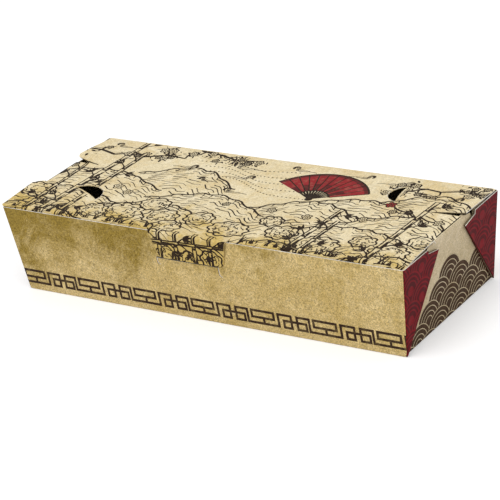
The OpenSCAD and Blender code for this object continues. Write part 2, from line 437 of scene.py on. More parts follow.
@dataclass
class Sheet:
    """A cut of board that is printed on one face, folded, and given its thickness."""

    name: str
    panel: Panel
    drawing: Drawing
    creases: tuple[Crease, ...] = ()
    lift: Callable[[float, float], float] | None = None
    grid: float = 4.0
    board: float = 0.42
    crease_rows: int = 8
    slack: float = 0.02
    rim: Finish = Finish.RAW
    folded_edges: tuple[tuple[Point, Point, Finish], ...] = ()

    def guides(self) -> tuple[list[Point], list[tuple[int, int]]]:
        """Gives extra points and lines that let the sheet bend.

        Returns:
            The points, and pairs of their numbers for the lines along the creases.
        """
        xs = [p[0] for p in self.drawing.points]
        ys = [p[1] for p in self.drawing.points]
        low, high = Vector((min(xs), min(ys))), Vector((max(xs), max(ys)))
        points: list[Point] = []
        for i in range(1, int((high.x - low.x) / self.grid) + 1):
            for k in range(1, int((high.y - low.y) / self.grid) + 1):
                points.append((low.x + i * self.grid, low.y + k * self.grid))
        lines = []
        reach = (high - low).length
        for crease in self.creases:
            for row in range(self.crease_rows + 1):
                d = crease.tangent * (2 * row / self.crease_rows - 1)
                middle = Vector(crease.at) + Vector(crease.side) * d
                run = Vector((-crease.side[1], crease.side[0])) * reach
                lines.append((len(points), len(points) + 1))
                points += [tuple(middle - run), tuple(middle + run)]
        return points, lines

    def rim_finish(self, middle: Vector) -> Finish:
        """Says what the board's edge shows: raw board, or print where the real sheet is folded.

        Args:
            middle: Middle of a short stretch of the edge, on the flat sheet.

        Returns:
            The finish of that stretch.
        """
        for start, stop, finish in self.folded_edges:
            a, run = Vector(start), Vector(stop) - Vector(start)
            share = clamped((middle - a).dot(run) / run.length_squared)
            if (middle - a - run * share).length < EDGE_REACH:
                return finish
        return self.rim

    def folded(self, x: float, y: float, w: float) -> Vector:
        """Folds one point of the flat sheet.

        Args:
            x: Place along the sheet.
            y: Place up the sheet.
            w: Height over the printed face.

        Returns:
            The point in space, in metres.
        """
        w += self.lift(x, y) if self.lift else 0.0
        for crease in self.creases:
            x, y, w = crease.bend(x, y, w)
        return self.panel.place(x, y, w) * MM

    def borders(self) -> tuple[list[Vector], dict[Edge, Finish]]:
        """Finds the lines of the flat sheet where one finish ends and another begins.

        Returns:
            The points, and the finish on the left of each stretch of such a line.
        """
        points = [Vector(p) for p in self.drawing.points]
        shapes = [list(shape.corners) for shape in self.drawing.shapes]
        result = delaunay_2d_cdt(points, [], shapes, 0, MERGE_DISTANCE, True)
        sides: dict[Edge, Finish] = {}
        for corners, sources in zip(result[2], result[5]):
            finish = self.drawing.finish_of(sources)
            if finish is not None:
                sides.update((edge, finish) for edge in edges_of(corners))
        lines = {edge: finish for edge, finish in sides.items() if sides.get(edge[::-1]) is not finish}
        return result[0], straightened(result[0], lines, self.slack)

    def filled(
        self, flat: list[Vector], borders: dict[Edge, Finish],
    ) -> tuple[list[Vector], list[Face], dict[int, int]]:
        """Fills the stretches between the borders with small faces that can bend.

        Args:
            flat: Points of the flat sheet.
            borders: Finish on the left of each border.

        Returns:
            The points, the faces with their finish, and the new number of each old point of a border.
        """
        extra, lines = self.guides()
        number = {old: new for new, old in enumerate(sorted({v for edge in borders for v in edge}))}
        left = {(number[a], number[b]): finish for (a, b), finish in borders.items()}
        given = sorted({(min(edge), max(edge)) for edge in left})
        points = [flat[old] for old in number] + [Vector(p) for p in extra]
        edges = given + [(a + len(number), b + len(number)) for a, b in lines]
        result = delaunay_2d_cdt(points, edges, [], 0, MERGE_DISTANCE, True)
        spots, triangles = result[0], [tuple(corners) for corners in result[2]]
        marks: dict[Edge, Finish | None] = {}
        for (u, v), sources in zip(result[1], result[4]):
            for a, b in (given[k] for k in sources if k < len(given)):
                if (points[b] - points[a]).dot(spots[v] - spots[u]) < 0:
                    a, b = b, a
                marks[u, v] = left.get((a, b))
                marks[v, u] = left.get((b, a))
        new_number = {old: new for new, olds in enumerate(result[3]) for old in olds}
        return spots, flooded(triangles, marks), {old: new_number[new] for old, new in number.items()}

    def build(self, finishes: "Finishes") -> bpy.types.Object:
        """Makes the folded sheet as a closed mesh: printed face, inner face in dark painted shade, and raw
        edges.

        Args:
            finishes: The materials.

        Returns:
            The new piece.
        """
        flat, faces, _ = self.filled(*self.borders())
        directed = {edge for corners, _ in faces for edge in edges_of(corners)}
        rim = sorted(edge for edge in directed if edge[::-1] not in directed)
        # The inner face takes the dark finish that is painted shade.
        back, back_faces, home = self.filled(flat, {edge: Finish.INSIDE for edge in rim})
        points = [self.folded(p.x, p.y, 0.0) for p in flat]
        points += [self.folded(p.x, p.y, -self.board) for p in back]
        count = len(flat)
        polygons = list(faces)
        polygons += [(tuple(c + count for c in corners[::-1]), finish) for corners, finish in back_faces]
        for a, b in rim:
            finish = self.rim_finish((flat[a] + flat[b]) / 2)
            polygons.append(((a, home[a] + count, home[b] + count, b), finish))
        return self.mesh_of(points, polygons, finishes)

    def mesh_of(self, points: list[Vector], polygons: list[Face], finishes: "Finishes") -> bpy.types.Object:
        """Makes the object from its folded points and its faces.

        Args:
            points: Points in space, in metres.
            polygons: Corner numbers and finish of each face.
            finishes: The materials.

        Returns:
            The new piece.
        """
        used = sorted({c for corners, _ in polygons for c in corners})
        number = {old: new for new, old in enumerate(used)}
        slots = list(dict.fromkeys(finish for _, finish in polygons))
        numbered = [tuple(number[c] for c in corners) for corners, _ in polygons]
        mesh = bpy.data.meshes.new(self.name)
        mesh.from_pydata([points[i] for i in used], [], numbered)
        for finish in slots:
            mesh.materials.append(finishes.material(finish))
        mesh.polygons.foreach_set("material_index", [slots.index(finish) for _, finish in polygons])
        mesh.polygons.foreach_set("use_smooth", [True] * len(polygons))
        mesh.set_sharp_from_angle(angle=math.radians(SHARP_ANGLE))
        LOG.info("%s: %d faces", self.name, len(polygons))
        return put_in_scene(self.name, mesh)


# Finishes


@dataclass(frozen=True)
class Pattern:
    """A noise over the sheet: its grain, and the stretch of its values that is spread from bottom to top."""

    scale: float
    detail: float
    rough: float = 0.55
    twist: float = 0.0
    low: float = 0.0
    high: float = 1.0
    top: float = 1.0
    bottom: float = 0.0


BROWN_EDGE = Pattern(scale=45, detail=10, rough=0.82, twist=0.6, low=0.36, high=0.64, top=0.8, bottom=-0.6)
STAIN_CLOUDS = Pattern(scale=24, detail=8, rough=0.75, twist=0.8, low=0.46, high=0.62)
FINE_MOTTLE = Pattern(scale=120, detail=10, rough=0.85, twist=1.2, low=0.47, high=0.6, top=0.8)
PALE_PATCHES = Pattern(scale=80, detail=9, rough=0.8, twist=0.8, low=0.5, high=0.62, top=0.6)
VEIN_COURSE = Pattern(scale=38, detail=5, rough=0.6, twist=1.6)
LIGHT_GRAIN = Pattern(scale=1500, detail=3, rough=0.9, low=0.34, high=0.66, top=1.45, bottom=0.5)
DARK_GRAIN = Pattern(scale=1000, detail=4, rough=0.95, low=0.5, high=0.62)
SPECKS = Pattern(scale=700, detail=2, rough=0.5, low=0.68, high=0.74)
FIBRES = Pattern(scale=1400, detail=3, rough=0.6)
SOFT_WAVES = Pattern(scale=90, detail=3, rough=0.5)
RUBBED = Pattern(scale=420, detail=5, rough=0.75, low=0.5, high=0.72)
WORN_PATCHES = Pattern(scale=55, detail=4, rough=0.6, low=0.58, high=0.72)
INK_TONE = Pattern(scale=110, detail=4, rough=0.6, low=0.35, high=0.7)
SHEEN_CHANGE = Pattern(scale=300, detail=3, low=0.3, high=0.7, top=0.12)

FULL_BROWN = 0.95
VEIN_MIDDLE = 0.5
VEIN_WIDTH = 0.011
VEIN_STRENGTH = 0.35
SPECK_STRENGTH = 0.6
FIBRE_STRETCH = (1.0, 3.0, 1.0)
FIBRE_HEIGHT = 0.35
WORN_PATCH_SHARE = 0.8
BUMP_DISTANCE = 0.0002
PAPER_SPECULAR = 0.1
PALE_TINT = (1.14, 1.18, 1.3, 1)
OLIVE_TINT = (0.66, 0.62, 0.42, 1)
SPECK_COLOUR = (0.1, 0.075, 0.03, 1)
THIN_INK_TINT = (1.9, 1.8, 1.8, 1)


def new_group(
    name: str, inputs: dict[str, tuple[str, object]], outputs: dict[str, str],
) -> bpy.types.NodeTree:
    """Makes an empty shader node group with named sockets.

    Args:
        name: Name of the group.
        inputs: Socket type and first value of each input.
        outputs: Socket type of each output.

    Returns:
        The group.
    """
    group = bpy.data.node_groups.new(name, "ShaderNodeTree")
    for key, (kind, value) in inputs.items():
        group.interface.new_socket(key, in_out="INPUT", socket_type=kind).default_value = value
    for key, kind in outputs.items():
        group.interface.new_socket(key, in_out="OUTPUT", socket_type=kind)
    return group


@dataclass
class Wiring:
    """Places nodes in one tree and joins them."""

    tree: bpy.types.NodeTree

    def node(
        self, kind: str, links: dict[str | int, object] | None = None, **settings: object,
    ) -> bpy.types.Node:
        """Adds a node.

        Args:
            kind: Blender's name of the node type.
            links: Value or source socket of each input.
            **settings: Properties of the node.

        Returns:
            The new node.
        """
        made = self.tree.nodes.new(kind)
        for key, value in settings.items():
            setattr(made, key, value)
        for key, value in (links or {}).items():
            if isinstance(value, bpy.types.NodeSocket):
                self.tree.links.new(value, made.inputs[key])
            else:
                made.inputs[key].default_value = value
        return made

    def noise(self, place: bpy.types.NodeSocket, pattern: Pattern) -> bpy.types.NodeSocket:
        """Adds a noise.

        Args:
            place: The point on the sheet.
            pattern: The noise's grain.

        Returns:
            Its plain value.
        """
        links = {"Vector": place, "Scale": pattern.scale, "Detail": pattern.detail,
                 "Roughness": pattern.rough, "Distortion": pattern.twist}
        return self.node("ShaderNodeTexNoise", links).outputs["Fac"]

    def spots(self, place: bpy.types.NodeSocket, pattern: Pattern,
              top: bpy.types.NodeSocket | None = None) -> bpy.types.NodeSocket:
        """Adds a noise and spreads the stretch of it that counts.

        Args:
            place: The point on the sheet.
            pattern: The noise's grain and stretch.
            top: Socket for the largest result, in place of the pattern's own.

        Returns:
            The clamped result.
        """
        value = self.noise(place, pattern)
        most = pattern.top if top is None else top
        return self.ramp(value, pattern.low, pattern.high, most, pattern.bottom)

    def ramp(self, value: bpy.types.NodeSocket, low: float, high: float,
             top: object = 1.0, bottom: float = 0.0) -> bpy.types.NodeSocket:
        """Spreads a value from bottom at low to top at high.

        Args:
            value: The value's socket.
            low: Value that gives the bottom.
            high: Value that gives the top.
            top: Largest result, a number or a socket.
            bottom: Smallest result.

        Returns:
            The clamped result.
        """
        links = {"Value": value, "From Min": low, "From Max": high, "To Min": bottom, "To Max": top}
        return self.node("ShaderNodeMapRange", links).outputs["Result"]

    def maths(self, kind: str, a: object, b: object = 0.0) -> bpy.types.NodeSocket:
        """Adds a sum, product or other calculation."""
        return self.node("ShaderNodeMath", {0: a, 1: b}, operation=kind).outputs["Value"]

    def mix(self, share: object, a: object, b: object, blend: str = "MIX") -> bpy.types.NodeSocket:
        """Mixes two colours.

        Args:
            share: Share of the second colour.
            a: First colour.
            b: Second colour.
            blend: How they mix.

        Returns:
            The mixed colour.
        """
        made = self.node("ShaderNodeMix", {0: share, 6: a, 7: b}, data_type="RGBA", blend_type=blend)
        return made.outputs[2]

    def place(self, scale: Direction = (1.0, 1.0, 1.0)) -> bpy.types.NodeSocket:
        """Gives the point on the sheet, in metres, stretched if wanted."""
        point = self.node("ShaderNodeTexCoord").outputs["Object"]
        return self.node("ShaderNodeVectorMath", {0: point, 1: scale}, operation="MULTIPLY").outputs[0]


def aged_paper_group() -> bpy.types.NodeTree:
    """Makes the group for the printed look of old paper: clouds of stain, fine mottle, specks and fibres.

    Returns:
        A group that puts out the paper's colour and the fibre height.
    """
    inputs = {
        "Paper": ("NodeSocketColor", (0.7, 0.6, 0.35, 1)),
        "Stain": ("NodeSocketColor", (0.4, 0.3, 0.12, 1)),
        "Stain Amount": ("NodeSocketFloat", 0.6), "Speck Amount": ("NodeSocketFloat", 0.5),
        "Browning": ("NodeSocketColor", (0.4, 0.3, 0.12, 1)),
        "Browning Axis": ("NodeSocketVector", (0, 0, 0)),
        "Browning Start": ("NodeSocketFloat", 0.0), "Grain": ("NodeSocketFloat", 0.7),
    }
    group = new_group("aged paper", inputs, {"Color": "NodeSocketColor", "Height": "NodeSocketFloat"})
    w = Wiring(group)
    given = w.node("NodeGroupInput").outputs
    place = w.place()
    along = w.node("ShaderNodeVectorMath", {0: place, 1: given["Browning Axis"]}, operation="DOT_PRODUCT")
    reach = w.maths("ADD", along.outputs["Value"], given["Browning Start"])
    uneven = w.spots(place, BROWN_EDGE)
    brown = w.ramp(w.maths("ADD", reach, uneven), 0.0, 1.0, FULL_BROWN)
    clouds = w.spots(place, STAIN_CLOUDS, given["Stain Amount"])
    mottle = w.spots(place, FINE_MOTTLE)
    patches = w.maths("MULTIPLY", mottle, given["Stain Amount"])
    colour = w.mix(clouds, given["Paper"], given["Stain"])
    colour = w.mix(patches, colour, given["Stain"])
    light = w.spots(place, PALE_PATCHES)
    pale = w.mix(1.0, given["Paper"], PALE_TINT, "MULTIPLY")
    colour = w.mix(light, colour, pale)
    colour = w.mix(brown, colour, given["Browning"])
    veins = w.maths("ABSOLUTE", w.maths("SUBTRACT", w.noise(place, VEIN_COURSE), VEIN_MIDDLE))
    vein = w.ramp(veins, 0.0, VEIN_WIDTH, 0.0, VEIN_STRENGTH)
    colour = w.mix(w.maths("MULTIPLY", vein, given["Stain Amount"]), colour, given["Browning"])
    grain = w.spots(place, LIGHT_GRAIN)
    colour = w.mix(given["Grain"], colour, w.mix(1.0, colour, grain, "MULTIPLY"))
    dark_grain = w.spots(place, DARK_GRAIN, given["Grain"])
    dark_olive = w.mix(1.0, colour, OLIVE_TINT, "MULTIPLY")
    colour = w.mix(w.maths("MULTIPLY", dark_grain, given["Stain Amount"]), colour, dark_olive)
    specks = w.spots(place, SPECKS, given["Speck Amount"])
    colour = w.mix(specks, colour, w.mix(SPECK_STRENGTH, colour, SPECK_COLOUR))
    fibres = w.noise(w.place(FIBRE_STRETCH), FIBRES)
    waves = w.noise(place, SOFT_WAVES)
    height = w.maths("ADD", w.maths("MULTIPLY", fibres, FIBRE_HEIGHT), waves)
    w.node("NodeGroupOutput", {"Color": colour, "Height": height})
    return group


def worn_print_group() -> bpy.types.NodeTree:
    """Makes the group for an ink that is rubbed and speckled, so that the paper shows through.

    Returns:
        A group that puts out the colour of ink on paper.
    """
    inputs = {
        "Paper": ("NodeSocketColor", (0.7, 0.6, 0.35, 1)),
        "Ink": ("NodeSocketColor", (0.06, 0.04, 0.03, 1)),
        "Wear": ("NodeSocketFloat", 0.4), "Tone Change": ("NodeSocketFloat", 0.3),
    }
    group = new_group("worn print", inputs, {"Color": "NodeSocketColor"})
    w = Wiring(group)
    given = w.node("NodeGroupInput").outputs
    place = w.place()
    rubbed = w.spots(place, RUBBED, given["Wear"])
    patches = w.spots(place, WORN_PATCHES, given["Wear"])
    share = w.maths("MAXIMUM", rubbed, w.maths("MULTIPLY", patches, WORN_PATCH_SHARE))
    tone = w.spots(place, INK_TONE, given["Tone Change"])
    ink = w.mix(tone, given["Ink"], w.mix(1.0, given["Ink"], THIN_INK_TINT, "MULTIPLY"))
    w.node("NodeGroupOutput", {"Color": w.mix(share, ink, given["Paper"])})
    return group


@dataclass(frozen=True)
class PaperFinish:
    """A printed face of the board: its paper tone, its stains and, where there is one, its ink."""

    paper: Colour
    stain: Colour
    stains: float = 0.6
    specks: float = 0.5
    ink: Colour | None = None
    browning: Colour = (0.4, 0.3, 0.1)
    browning_axis: Direction = (0.0, 0.0, 0.0)
    browning_start: float = -2.0
    grain: float = 0.5
    wear: float = 0.3
    tone: float = 0.3
    roughness: float = 0.62
    bump: float = 0.12

    def dress(
        self, material: bpy.types.Material, paper: bpy.types.NodeTree, worn: bpy.types.NodeTree,
    ) -> None:
        """Builds the nodes of the finish.

        Args:
            material: Material with an empty node tree.
            paper: The group for aged paper.
            worn: The group for worn print.
        """
        w = Wiring(material.node_tree)
        paper_values = {
            "Paper": (*self.paper, 1), "Stain": (*self.stain, 1), "Stain Amount": self.stains,
            "Speck Amount": self.specks, "Browning": (*self.browning, 1), "Grain": self.grain,
            "Browning Axis": self.browning_axis, "Browning Start": self.browning_start,
        }
        base = w.node("ShaderNodeGroup", paper_values, node_tree=paper)
        colour = base.outputs["Color"]
        if self.ink:
            ink_values = {"Paper": colour, "Ink": (*self.ink, 1), "Wear": self.wear,
                          "Tone Change": self.tone}
            colour = w.node("ShaderNodeGroup", ink_values, node_tree=worn).outputs["Color"]
        bump_values = {"Height": base.outputs["Height"], "Strength": self.bump, "Distance": BUMP_DISTANCE}
        normal = w.node("ShaderNodeBump", bump_values).outputs["Normal"]
        rough = w.spots(w.place(), SHEEN_CHANGE)
        rough = w.maths("ADD", rough, self.roughness - SHEEN_CHANGE.top / 2)
        links = {"Base Color": colour, "Roughness": rough, "Normal": normal}
        shader = w.node("ShaderNodeBsdfPrincipled", links)
        shader.inputs["Specular IOR Level"].default_value = PAPER_SPECULAR
        w.node("ShaderNodeOutputMaterial", {"Surface": shader.outputs["BSDF"]})


LID_TONES = {
    "paper": (0.79, 0.68, 0.45), "stain": (0.66, 0.49, 0.22), "stains": 0.6, "specks": 0.3,
    "browning": (0.60, 0.43, 0.13), "browning_axis": (-1.5, -38.0, -25.0), "browning_start": 0.16,
}
WALL_TONES = {
    "paper": (0.66, 0.50, 0.235), "stain": (0.49, 0.345, 0.105), "stains": 0.65, "specks": 0.9,
    "browning": (0.29, 0.195, 0.032), "browning_axis": (-9.0, 0.0, 34.0), "browning_start": -0.88,
    "grain": 1.0,
}
END_TONES = {"paper": (0.60, 0.49, 0.32), "stain": (0.45, 0.36, 0.21), "stains": 0.5, "specks": 0.5}
RED_TONES = {"paper": (0.30, 0.05, 0.04), "stain": (0.08, 0.004, 0.008), "stains": 0.3, "specks": 0.2}

PRINTS = {
    Finish.LID_PAPER: PaperFinish(**LID_TONES),
    Finish.WALL_PAPER: PaperFinish(**WALL_TONES),
    Finish.END_PAPER: PaperFinish(**END_TONES),
    Finish.LID_INK: PaperFinish(**LID_TONES, ink=(0.020, 0.011, 0.005), wear=0.04),
    Finish.WALL_INK: PaperFinish(**WALL_TONES, ink=(0.030, 0.015, 0.008), wear=0.25),
    Finish.WAVE_INK: PaperFinish(**END_TONES, ink=(0.046, 0.022, 0.009), wear=0.06),
    Finish.MAROON: PaperFinish(**RED_TONES, ink=(0.066, 0.002, 0.004), wear=0.04, tone=0.5),
    Finish.RED: PaperFinish(**RED_TONES, ink=(0.155, 0.004, 0.008), wear=0.05, tone=0.4),
    Finish.LID_RED: PaperFinish(**LID_TONES, ink=(0.22, 0.014, 0.016), wear=0.15, tone=0.5),
    Finish.LID_MAROON: PaperFinish(**LID_TONES, ink=(0.09, 0.010, 0.010), wear=0.1, tone=0.5),
    Finish.RAW: PaperFinish((0.74, 0.69, 0.61), (0.5, 0.44, 0.36), 0.5, 0.1, roughness=0.8, bump=0.3),
    # Dark colour for the board's inner face: painted shade for the shadowed inside of the box and the gaps
    # between its layers.
    Finish.INSIDE: PaperFinish((0.20, 0.16, 0.095), (0.13, 0.10, 0.055), 0.4, 0.2, roughness=0.75, bump=0.2),
}


class Finishes:
    """Makes each material once and hands it out."""

    def __init__(self) -> None:
        """Makes the shared node groups."""
        self.paper = aged_paper_group()
        self.worn = worn_print_group()
        self.made: dict[Finish, bpy.types.Material] = {}

    def material(self, finish: Finish) -> bpy.types.Material:
        """Gives the material of a finish.

        Args:
            finish: The finish.

        Returns:
            Its material, made at the first call.
        """
        if finish not in self.made:
            material = bpy.data.materials.new(finish.value)
            material.use_nodes = True
            material.node_tree.nodes.clear()
            PRINTS[finish].dress(material, self.paper, self.worn)
            self.made[finish] = material
        return self.made[finish]


# Prints


@dataclass
class FretBand:
    """The key-pattern band along the front and back walls."""

    line: float = 1.2
    low: float = 4.05
    high: float = 9.95
    pitch: float = 30.27
    first: float = -91.6
    repeats: int = 7
    box_left: float = -5.6
    box_right: float = 5.2
    box_foot: float = 6.75
    stem: float = 0.1
    ledge_left: float = -7.7
    ledge_right: float = 7.45
    hook_left: float = 10.1
    hook_right: float = 21.0
    hook_height: float = 7.3
    first_post: float = 13.8
    second_post: float = 16.7
    last_post: float = 22.57

    def unit(self) -> list[tuple[Point, Point]]:
        """Gives one repeat of the band.

        Returns:
            The middle lines of its bars, about the middle of its open box.
        """
        low, high, hook = self.low, self.high, self.hook_height
        box = [(self.box_left, high), (self.box_right, high),
               (self.box_right, self.box_foot), (self.box_left, self.box_foot)]
        ledge = [(self.ledge_left, low), (self.ledge_right, low), (self.ledge_right, high),
                 (self.first_post, high), (self.first_post, low), (self.hook_left, low),
                 (self.hook_left, hook), (self.hook_right, hook), (self.hook_right, low),
                 (self.second_post, low), (self.second_post, high), (self.last_post, high),
                 (self.last_post, low)]
        bars = list(zip(box, box[1:] + box[:1])) + list(zip(ledge, ledge[1:]))
        return bars + [((self.stem, low), (self.stem, self.box_foot))]

    def paint(self, drawing: Drawing) -> None:
        """Paints the whole band.

        Args:
            drawing: The wall's drawing.
        """
        for k in range(-1, self.repeats):
            x = self.first + k * self.pitch
            for start, stop in self.unit():
                drawing.bar((start[0] + x, start[1]), (stop[0] + x, stop[1]), self.line, Finish.WALL_INK)


@dataclass(frozen=True)
class ScalePattern:
    """Rows of overlapping scales, each with rings round its middle."""

    radius: float
    rings: tuple[float, ...]
    dot: float
    line: float
    fill: Finish
    ink: Finish
    within: str

    def scale(self, drawing: Drawing, at: Point, to_sheet: Callable[[Point], Point]) -> None:
        """Paints one scale.

        Args:
            drawing: The sheet's drawing.
            at: Middle of the scale on the panel.
            to_sheet: Takes a point of the panel to the flat sheet.
        """
        disc = [to_sheet(p) for p in arc_path(at, self.radius, 0, 345, 23)]
        drawing.area(disc, self.fill, within=self.within)
        for radius in self.rings:
            path = [to_sheet(p) for p in arc_path(at, radius, -20, 200, max(8, int(radius * 2.6)))]
            drawing.stroke(path, self.line, self.ink, within=self.within)
        if self.dot:
            dot = [to_sheet(p) for p in arc_path(at, self.dot, 0, 330, 11)]
            drawing.area(dot, self.ink, within=self.within)

    def paint(self, drawing: Drawing, low: Point, high: Point, pitch: Point,
              to_sheet: Callable[[Point], Point], top: Callable[[float], float] | None = None) -> None:
        """Paints rows of scales from the top down.

        Args:
            drawing: The sheet's drawing.
            low: Lowest left middle.
            high: Highest right middle.
            pitch: Distance of the scales in a row and of the rows.
            to_sheet: Takes a point of the panel to the flat sheet.
            top: Gives the height above which there are no scales, or None.
        """
        rows = int((high[1] - low[1]) / pitch[1]) + 1
        for row in range(rows - 1, -1, -1):
            y = low[1] + row * pitch[1]
            x = low[0] + (pitch[0] / 2 if row % 2 else 0.0)
            while x <= high[0]:
                if top is None or y < top(x):
                    self.scale(drawing, (x, y), to_sheet)
                x += pitch[0]


WEB_SCALES = ScalePattern(
    radius=8.4, rings=(8.0, 6.2, 4.4), dot=2.2, line=0.7, fill=Finish.MAROON, ink=Finish.RED, within="web",
)
END_SCALES = ScalePattern(
    radius=9.3, rings=(9.05, 7.0, 4.9, 2.8), dot=0.0, line=0.33, fill=Finish.WAVE_INK,
    ink=Finish.END_PAPER, within="",
)


@dataclass
class GardenPrint:
    """The lid's picture, a generic garden: hills, bamboo, scroll clouds, blossom boughs, folding fan."""

    drawing: Drawing
    rng: random.Random = field(default_factory=partial(random.Random, 31))
    line: float = 0.7

    def ink(self, path: list[Point], width: float = 1.0, ends: Point = (1.0, 1.0)) -> None:
        """Draws an ink line whose width is a factor on the usual one."""
        self.drawing.stroke(path, self.line * width, Finish.LID_INK, ends)

    def closed(self, outline: list[Point], width: float = 1.0, fill: Finish = Finish.LID_PAPER) -> None:
        """Fills an outline and draws its edge."""
        self.drawing.area(outline, fill)
        self.ink(outline + outline[:2], width)

    def broken(self, path: list[Point], dash: int, gap: int, width: float = 0.8) -> None:
        """Draws a broken line.

        Args:
            path: Points of the line.
            dash: Longest dash, in points.
            gap: Longest gap, in points.
            width: Factor on the usual line.
        """
        i = self.rng.randint(0, gap)
        while i < len(path) - 1:
            n = self.rng.randint(max(1, dash // 2), dash)
            self.ink(path[i:i + n + 1], width, (1.0, 0.6))
            i += n + self.rng.randint(1, gap)

    def leaf(self, at: Point, turn: float, length: float, solid: bool) -> None:
        """Draws a pointed leaf.

        Args:
            at: Foot of the leaf.
            turn: Direction in degrees.
            length: Length of the leaf.
            solid: Whether it is filled with ink, or has an edge and a rib.
        """
        outline = placed(leaf_outline(length, length * 0.26), at, turn)
        if solid:
            self.drawing.area(outline, Finish.LID_INK)
            return
        self.closed(outline, 0.8)
        self.ink(placed([(0, 0), (length * 0.8, 0)], at, turn), 0.7)

    def spray(self, at: Point, turn: float, count: int, length: float) -> None:
        """Draws a spray of bamboo leaves.

        Args:
            at: Where the leaves meet.
            turn: Direction of the middle leaf.
            count: Number of leaves.
            length: Length of the longest.
        """
        for i in range(count):
            spread = (i - (count - 1) / 2) * self.rng.uniform(20, 30)
            size = length * self.rng.uniform(0.65, 1.0)
            self.leaf(at, turn + spread, size, self.rng.random() < 0.6)

    def bamboo(self, foot: Point, top: Point, width: float) -> None:
        """Draws a bamboo cane with its joints, its shade and small sprays.

        Args:
            foot: Lower end.
            top: Upper end.
            width: Width of the cane at its foot.
        """
        run = Vector(top) - Vector(foot)
        turn = math.degrees(math.atan2(run.y, run.x))
        parts = max(2, round(run.length / 8.5))
        for i in range(parts):
            at = Vector(foot) + run * (i / parts)
            size = run.length / parts
            half = width / 2 * (1 - 0.35 * i / parts)
            body = [(0.3, -half), (size * 0.5, -half * 0.86), (size - 0.3, -half),
                    (size - 0.3, half), (size * 0.5, half * 0.86), (0.3, half)]
            self.closed(placed(body, tuple(at), turn), 1.0)
            self.ink(placed([(0, -half * 1.25), (0, half * 1.25)], tuple(at), turn), 1.7)
            for k in range(4):
                y = -half * (0.75 - 0.22 * k)
                shade = placed([(0.8, y), (size * self.rng.uniform(0.4, 0.9), y)], tuple(at), turn)
                self.ink(shade, 0.7, (1.0, 0.5))
            if i and self.rng.random() < 0.8:
                side = self.rng.choice((-1, 1))
                twig = placed([(0, 0), (2.6, side * 1.8), (4.6, side * 4.2)], tuple(at), turn)
                self.ink(twig, 1.1, (1.2, 0.7))
                self.spray(twig[-1], turn + side * self.rng.uniform(30, 100), self.rng.randint(3, 5), 6.0)

    def blossom(self, at: Point, radius: float, fill: Finish = Finish.LID_PAPER) -> None:
        """Draws a five-petalled flower.

        Args:
            at: Middle of the flower.
            radius: Reach of its petals.
            fill: Finish of its petals.
        """
        turn = self.rng.uniform(0, 72)
        outline = []
        for i in range(30):
            a = math.radians(12 * i + turn)
            r = radius * (0.62 + 0.38 * abs(math.cos(2.5 * math.radians(12 * i))))
            outline.append((at[0] + r * math.cos(a), at[1] + r * math.sin(a)))
        self.closed(outline, 0.9, fill)
        for i in range(5):
            path = placed([(radius * 0.2, 0), (radius * 0.6, 0)], at, 72 * i + turn)
            self.ink(path, 0.8)
        self.drawing.area(arc_path(at, radius * 0.16, 0, 300, 5), Finish.LID_INK)

    def bough(self, path: list[Point], width: float, flowers: int) -> None:
        """Draws a bough with twigs and blossoms.

        Args:
            path: Points of the bough, from its thick end.
            width: Width of the thick end.
            flowers: Number of blossoms.
        """
        self.drawing.stroke(path, width, Finish.LID_INK, (1.0, 0.3))
        shifted = [(x + 0.15 * width, y + 0.22 * width) for x, y in path[:-2]]
        self.drawing.stroke(shifted, width * 0.3, Finish.LID_PAPER, (1.0, 0.3))
        for _ in range(flowers):
            k = self.rng.randint(1, len(path) - 1)
            turn = self.rng.uniform(0, 360)
            reach = self.rng.uniform(2.0, 6.5)
            tip = placed([(reach, 0)], path[k], turn)[0]
            middle = placed([(reach * 0.5, reach * 0.2)], path[k], turn)[0]
            self.ink([path[k], middle, tip], 1.1, (1.3, 0.6))
            for _ in range(6):
                spot = placed([(self.rng.uniform(0, 4), 0)], tip, self.rng.uniform(0, 360))[0]
                leaf_turn = self.rng.uniform(0, 360)
                self.leaf(spot, leaf_turn, self.rng.uniform(1.6, 2.8), self.rng.random() < 0.8)
            if self.rng.random() < 0.55:
                self.blossom(tip, self.rng.uniform(1.5, 2.5))

    def cloud(self, at: Point, width: float, height: float, bumps: int) -> None:
        """Draws a billowing clump with scalloped edges and small loops inside.

        Args:
            at: Middle of the clump.
            width: Its width.
            height: Its height.
            bumps: Number of scallops round it.
        """
        phase = self.rng.uniform(0, math.pi)
        for shrink, weight in ((1.0, 1.25), (0.72, 0.8), (0.45, 0.7)):
            count = max(5, int(bumps * shrink))
            outline = []
            for i in range(count * 5):
                a = 2 * math.pi * i / (count * 5)
                r = shrink * (0.84 + 0.2 * abs(math.sin(count * a / 2 + phase)))
                outline.append((at[0] + r * width / 2 * math.cos(a), at[1] + r * height / 2 * math.sin(a)))
            if shrink == 1.0:
                self.closed(outline, weight)
            else:
                self.broken(outline, 7, 3, weight)
        for _ in range(int(width * height / 12)):
            x = at[0] + self.rng.uniform(-0.36, 0.36) * width
            y = at[1] + self.rng.uniform(-0.36, 0.36) * height
            start = self.rng.uniform(0, 360)
            self.ink(arc_path((x, y), self.rng.uniform(0.5, 0.9), start, start + 200, 4), 0.8)

    def scroll(self, at: Point, size: float, way: float) -> None:
        """Draws a curled scroll of cloud with a trailing tail.

        Args:
            at: Middle of the curl.
            size: Radius of the curl.
            way: 1 where the tail runs to the right, -1 to the left.
        """
        for shrink in (1.0, 0.68, 0.38):
            curl = []
            for i in range(14):
                radius = size * shrink * (1 - 0.045 * i)
                angle = math.radians(-60 + 24 * i)
                curl.append((radius * math.cos(angle), radius * math.sin(angle)))
            tail = [(size * shrink * (0.5 + 0.9 * k), -size * shrink * (0.87 + 0.16 * math.sin(k * 1.3)))
                    for k in range(5, 0, -1)]
            path = [(at[0] + way * x, at[1] + y) for x, y in tail + curl]
            self.ink(path, 1.0 if shrink == 1.0 else 0.8, (0.5, 1.0))

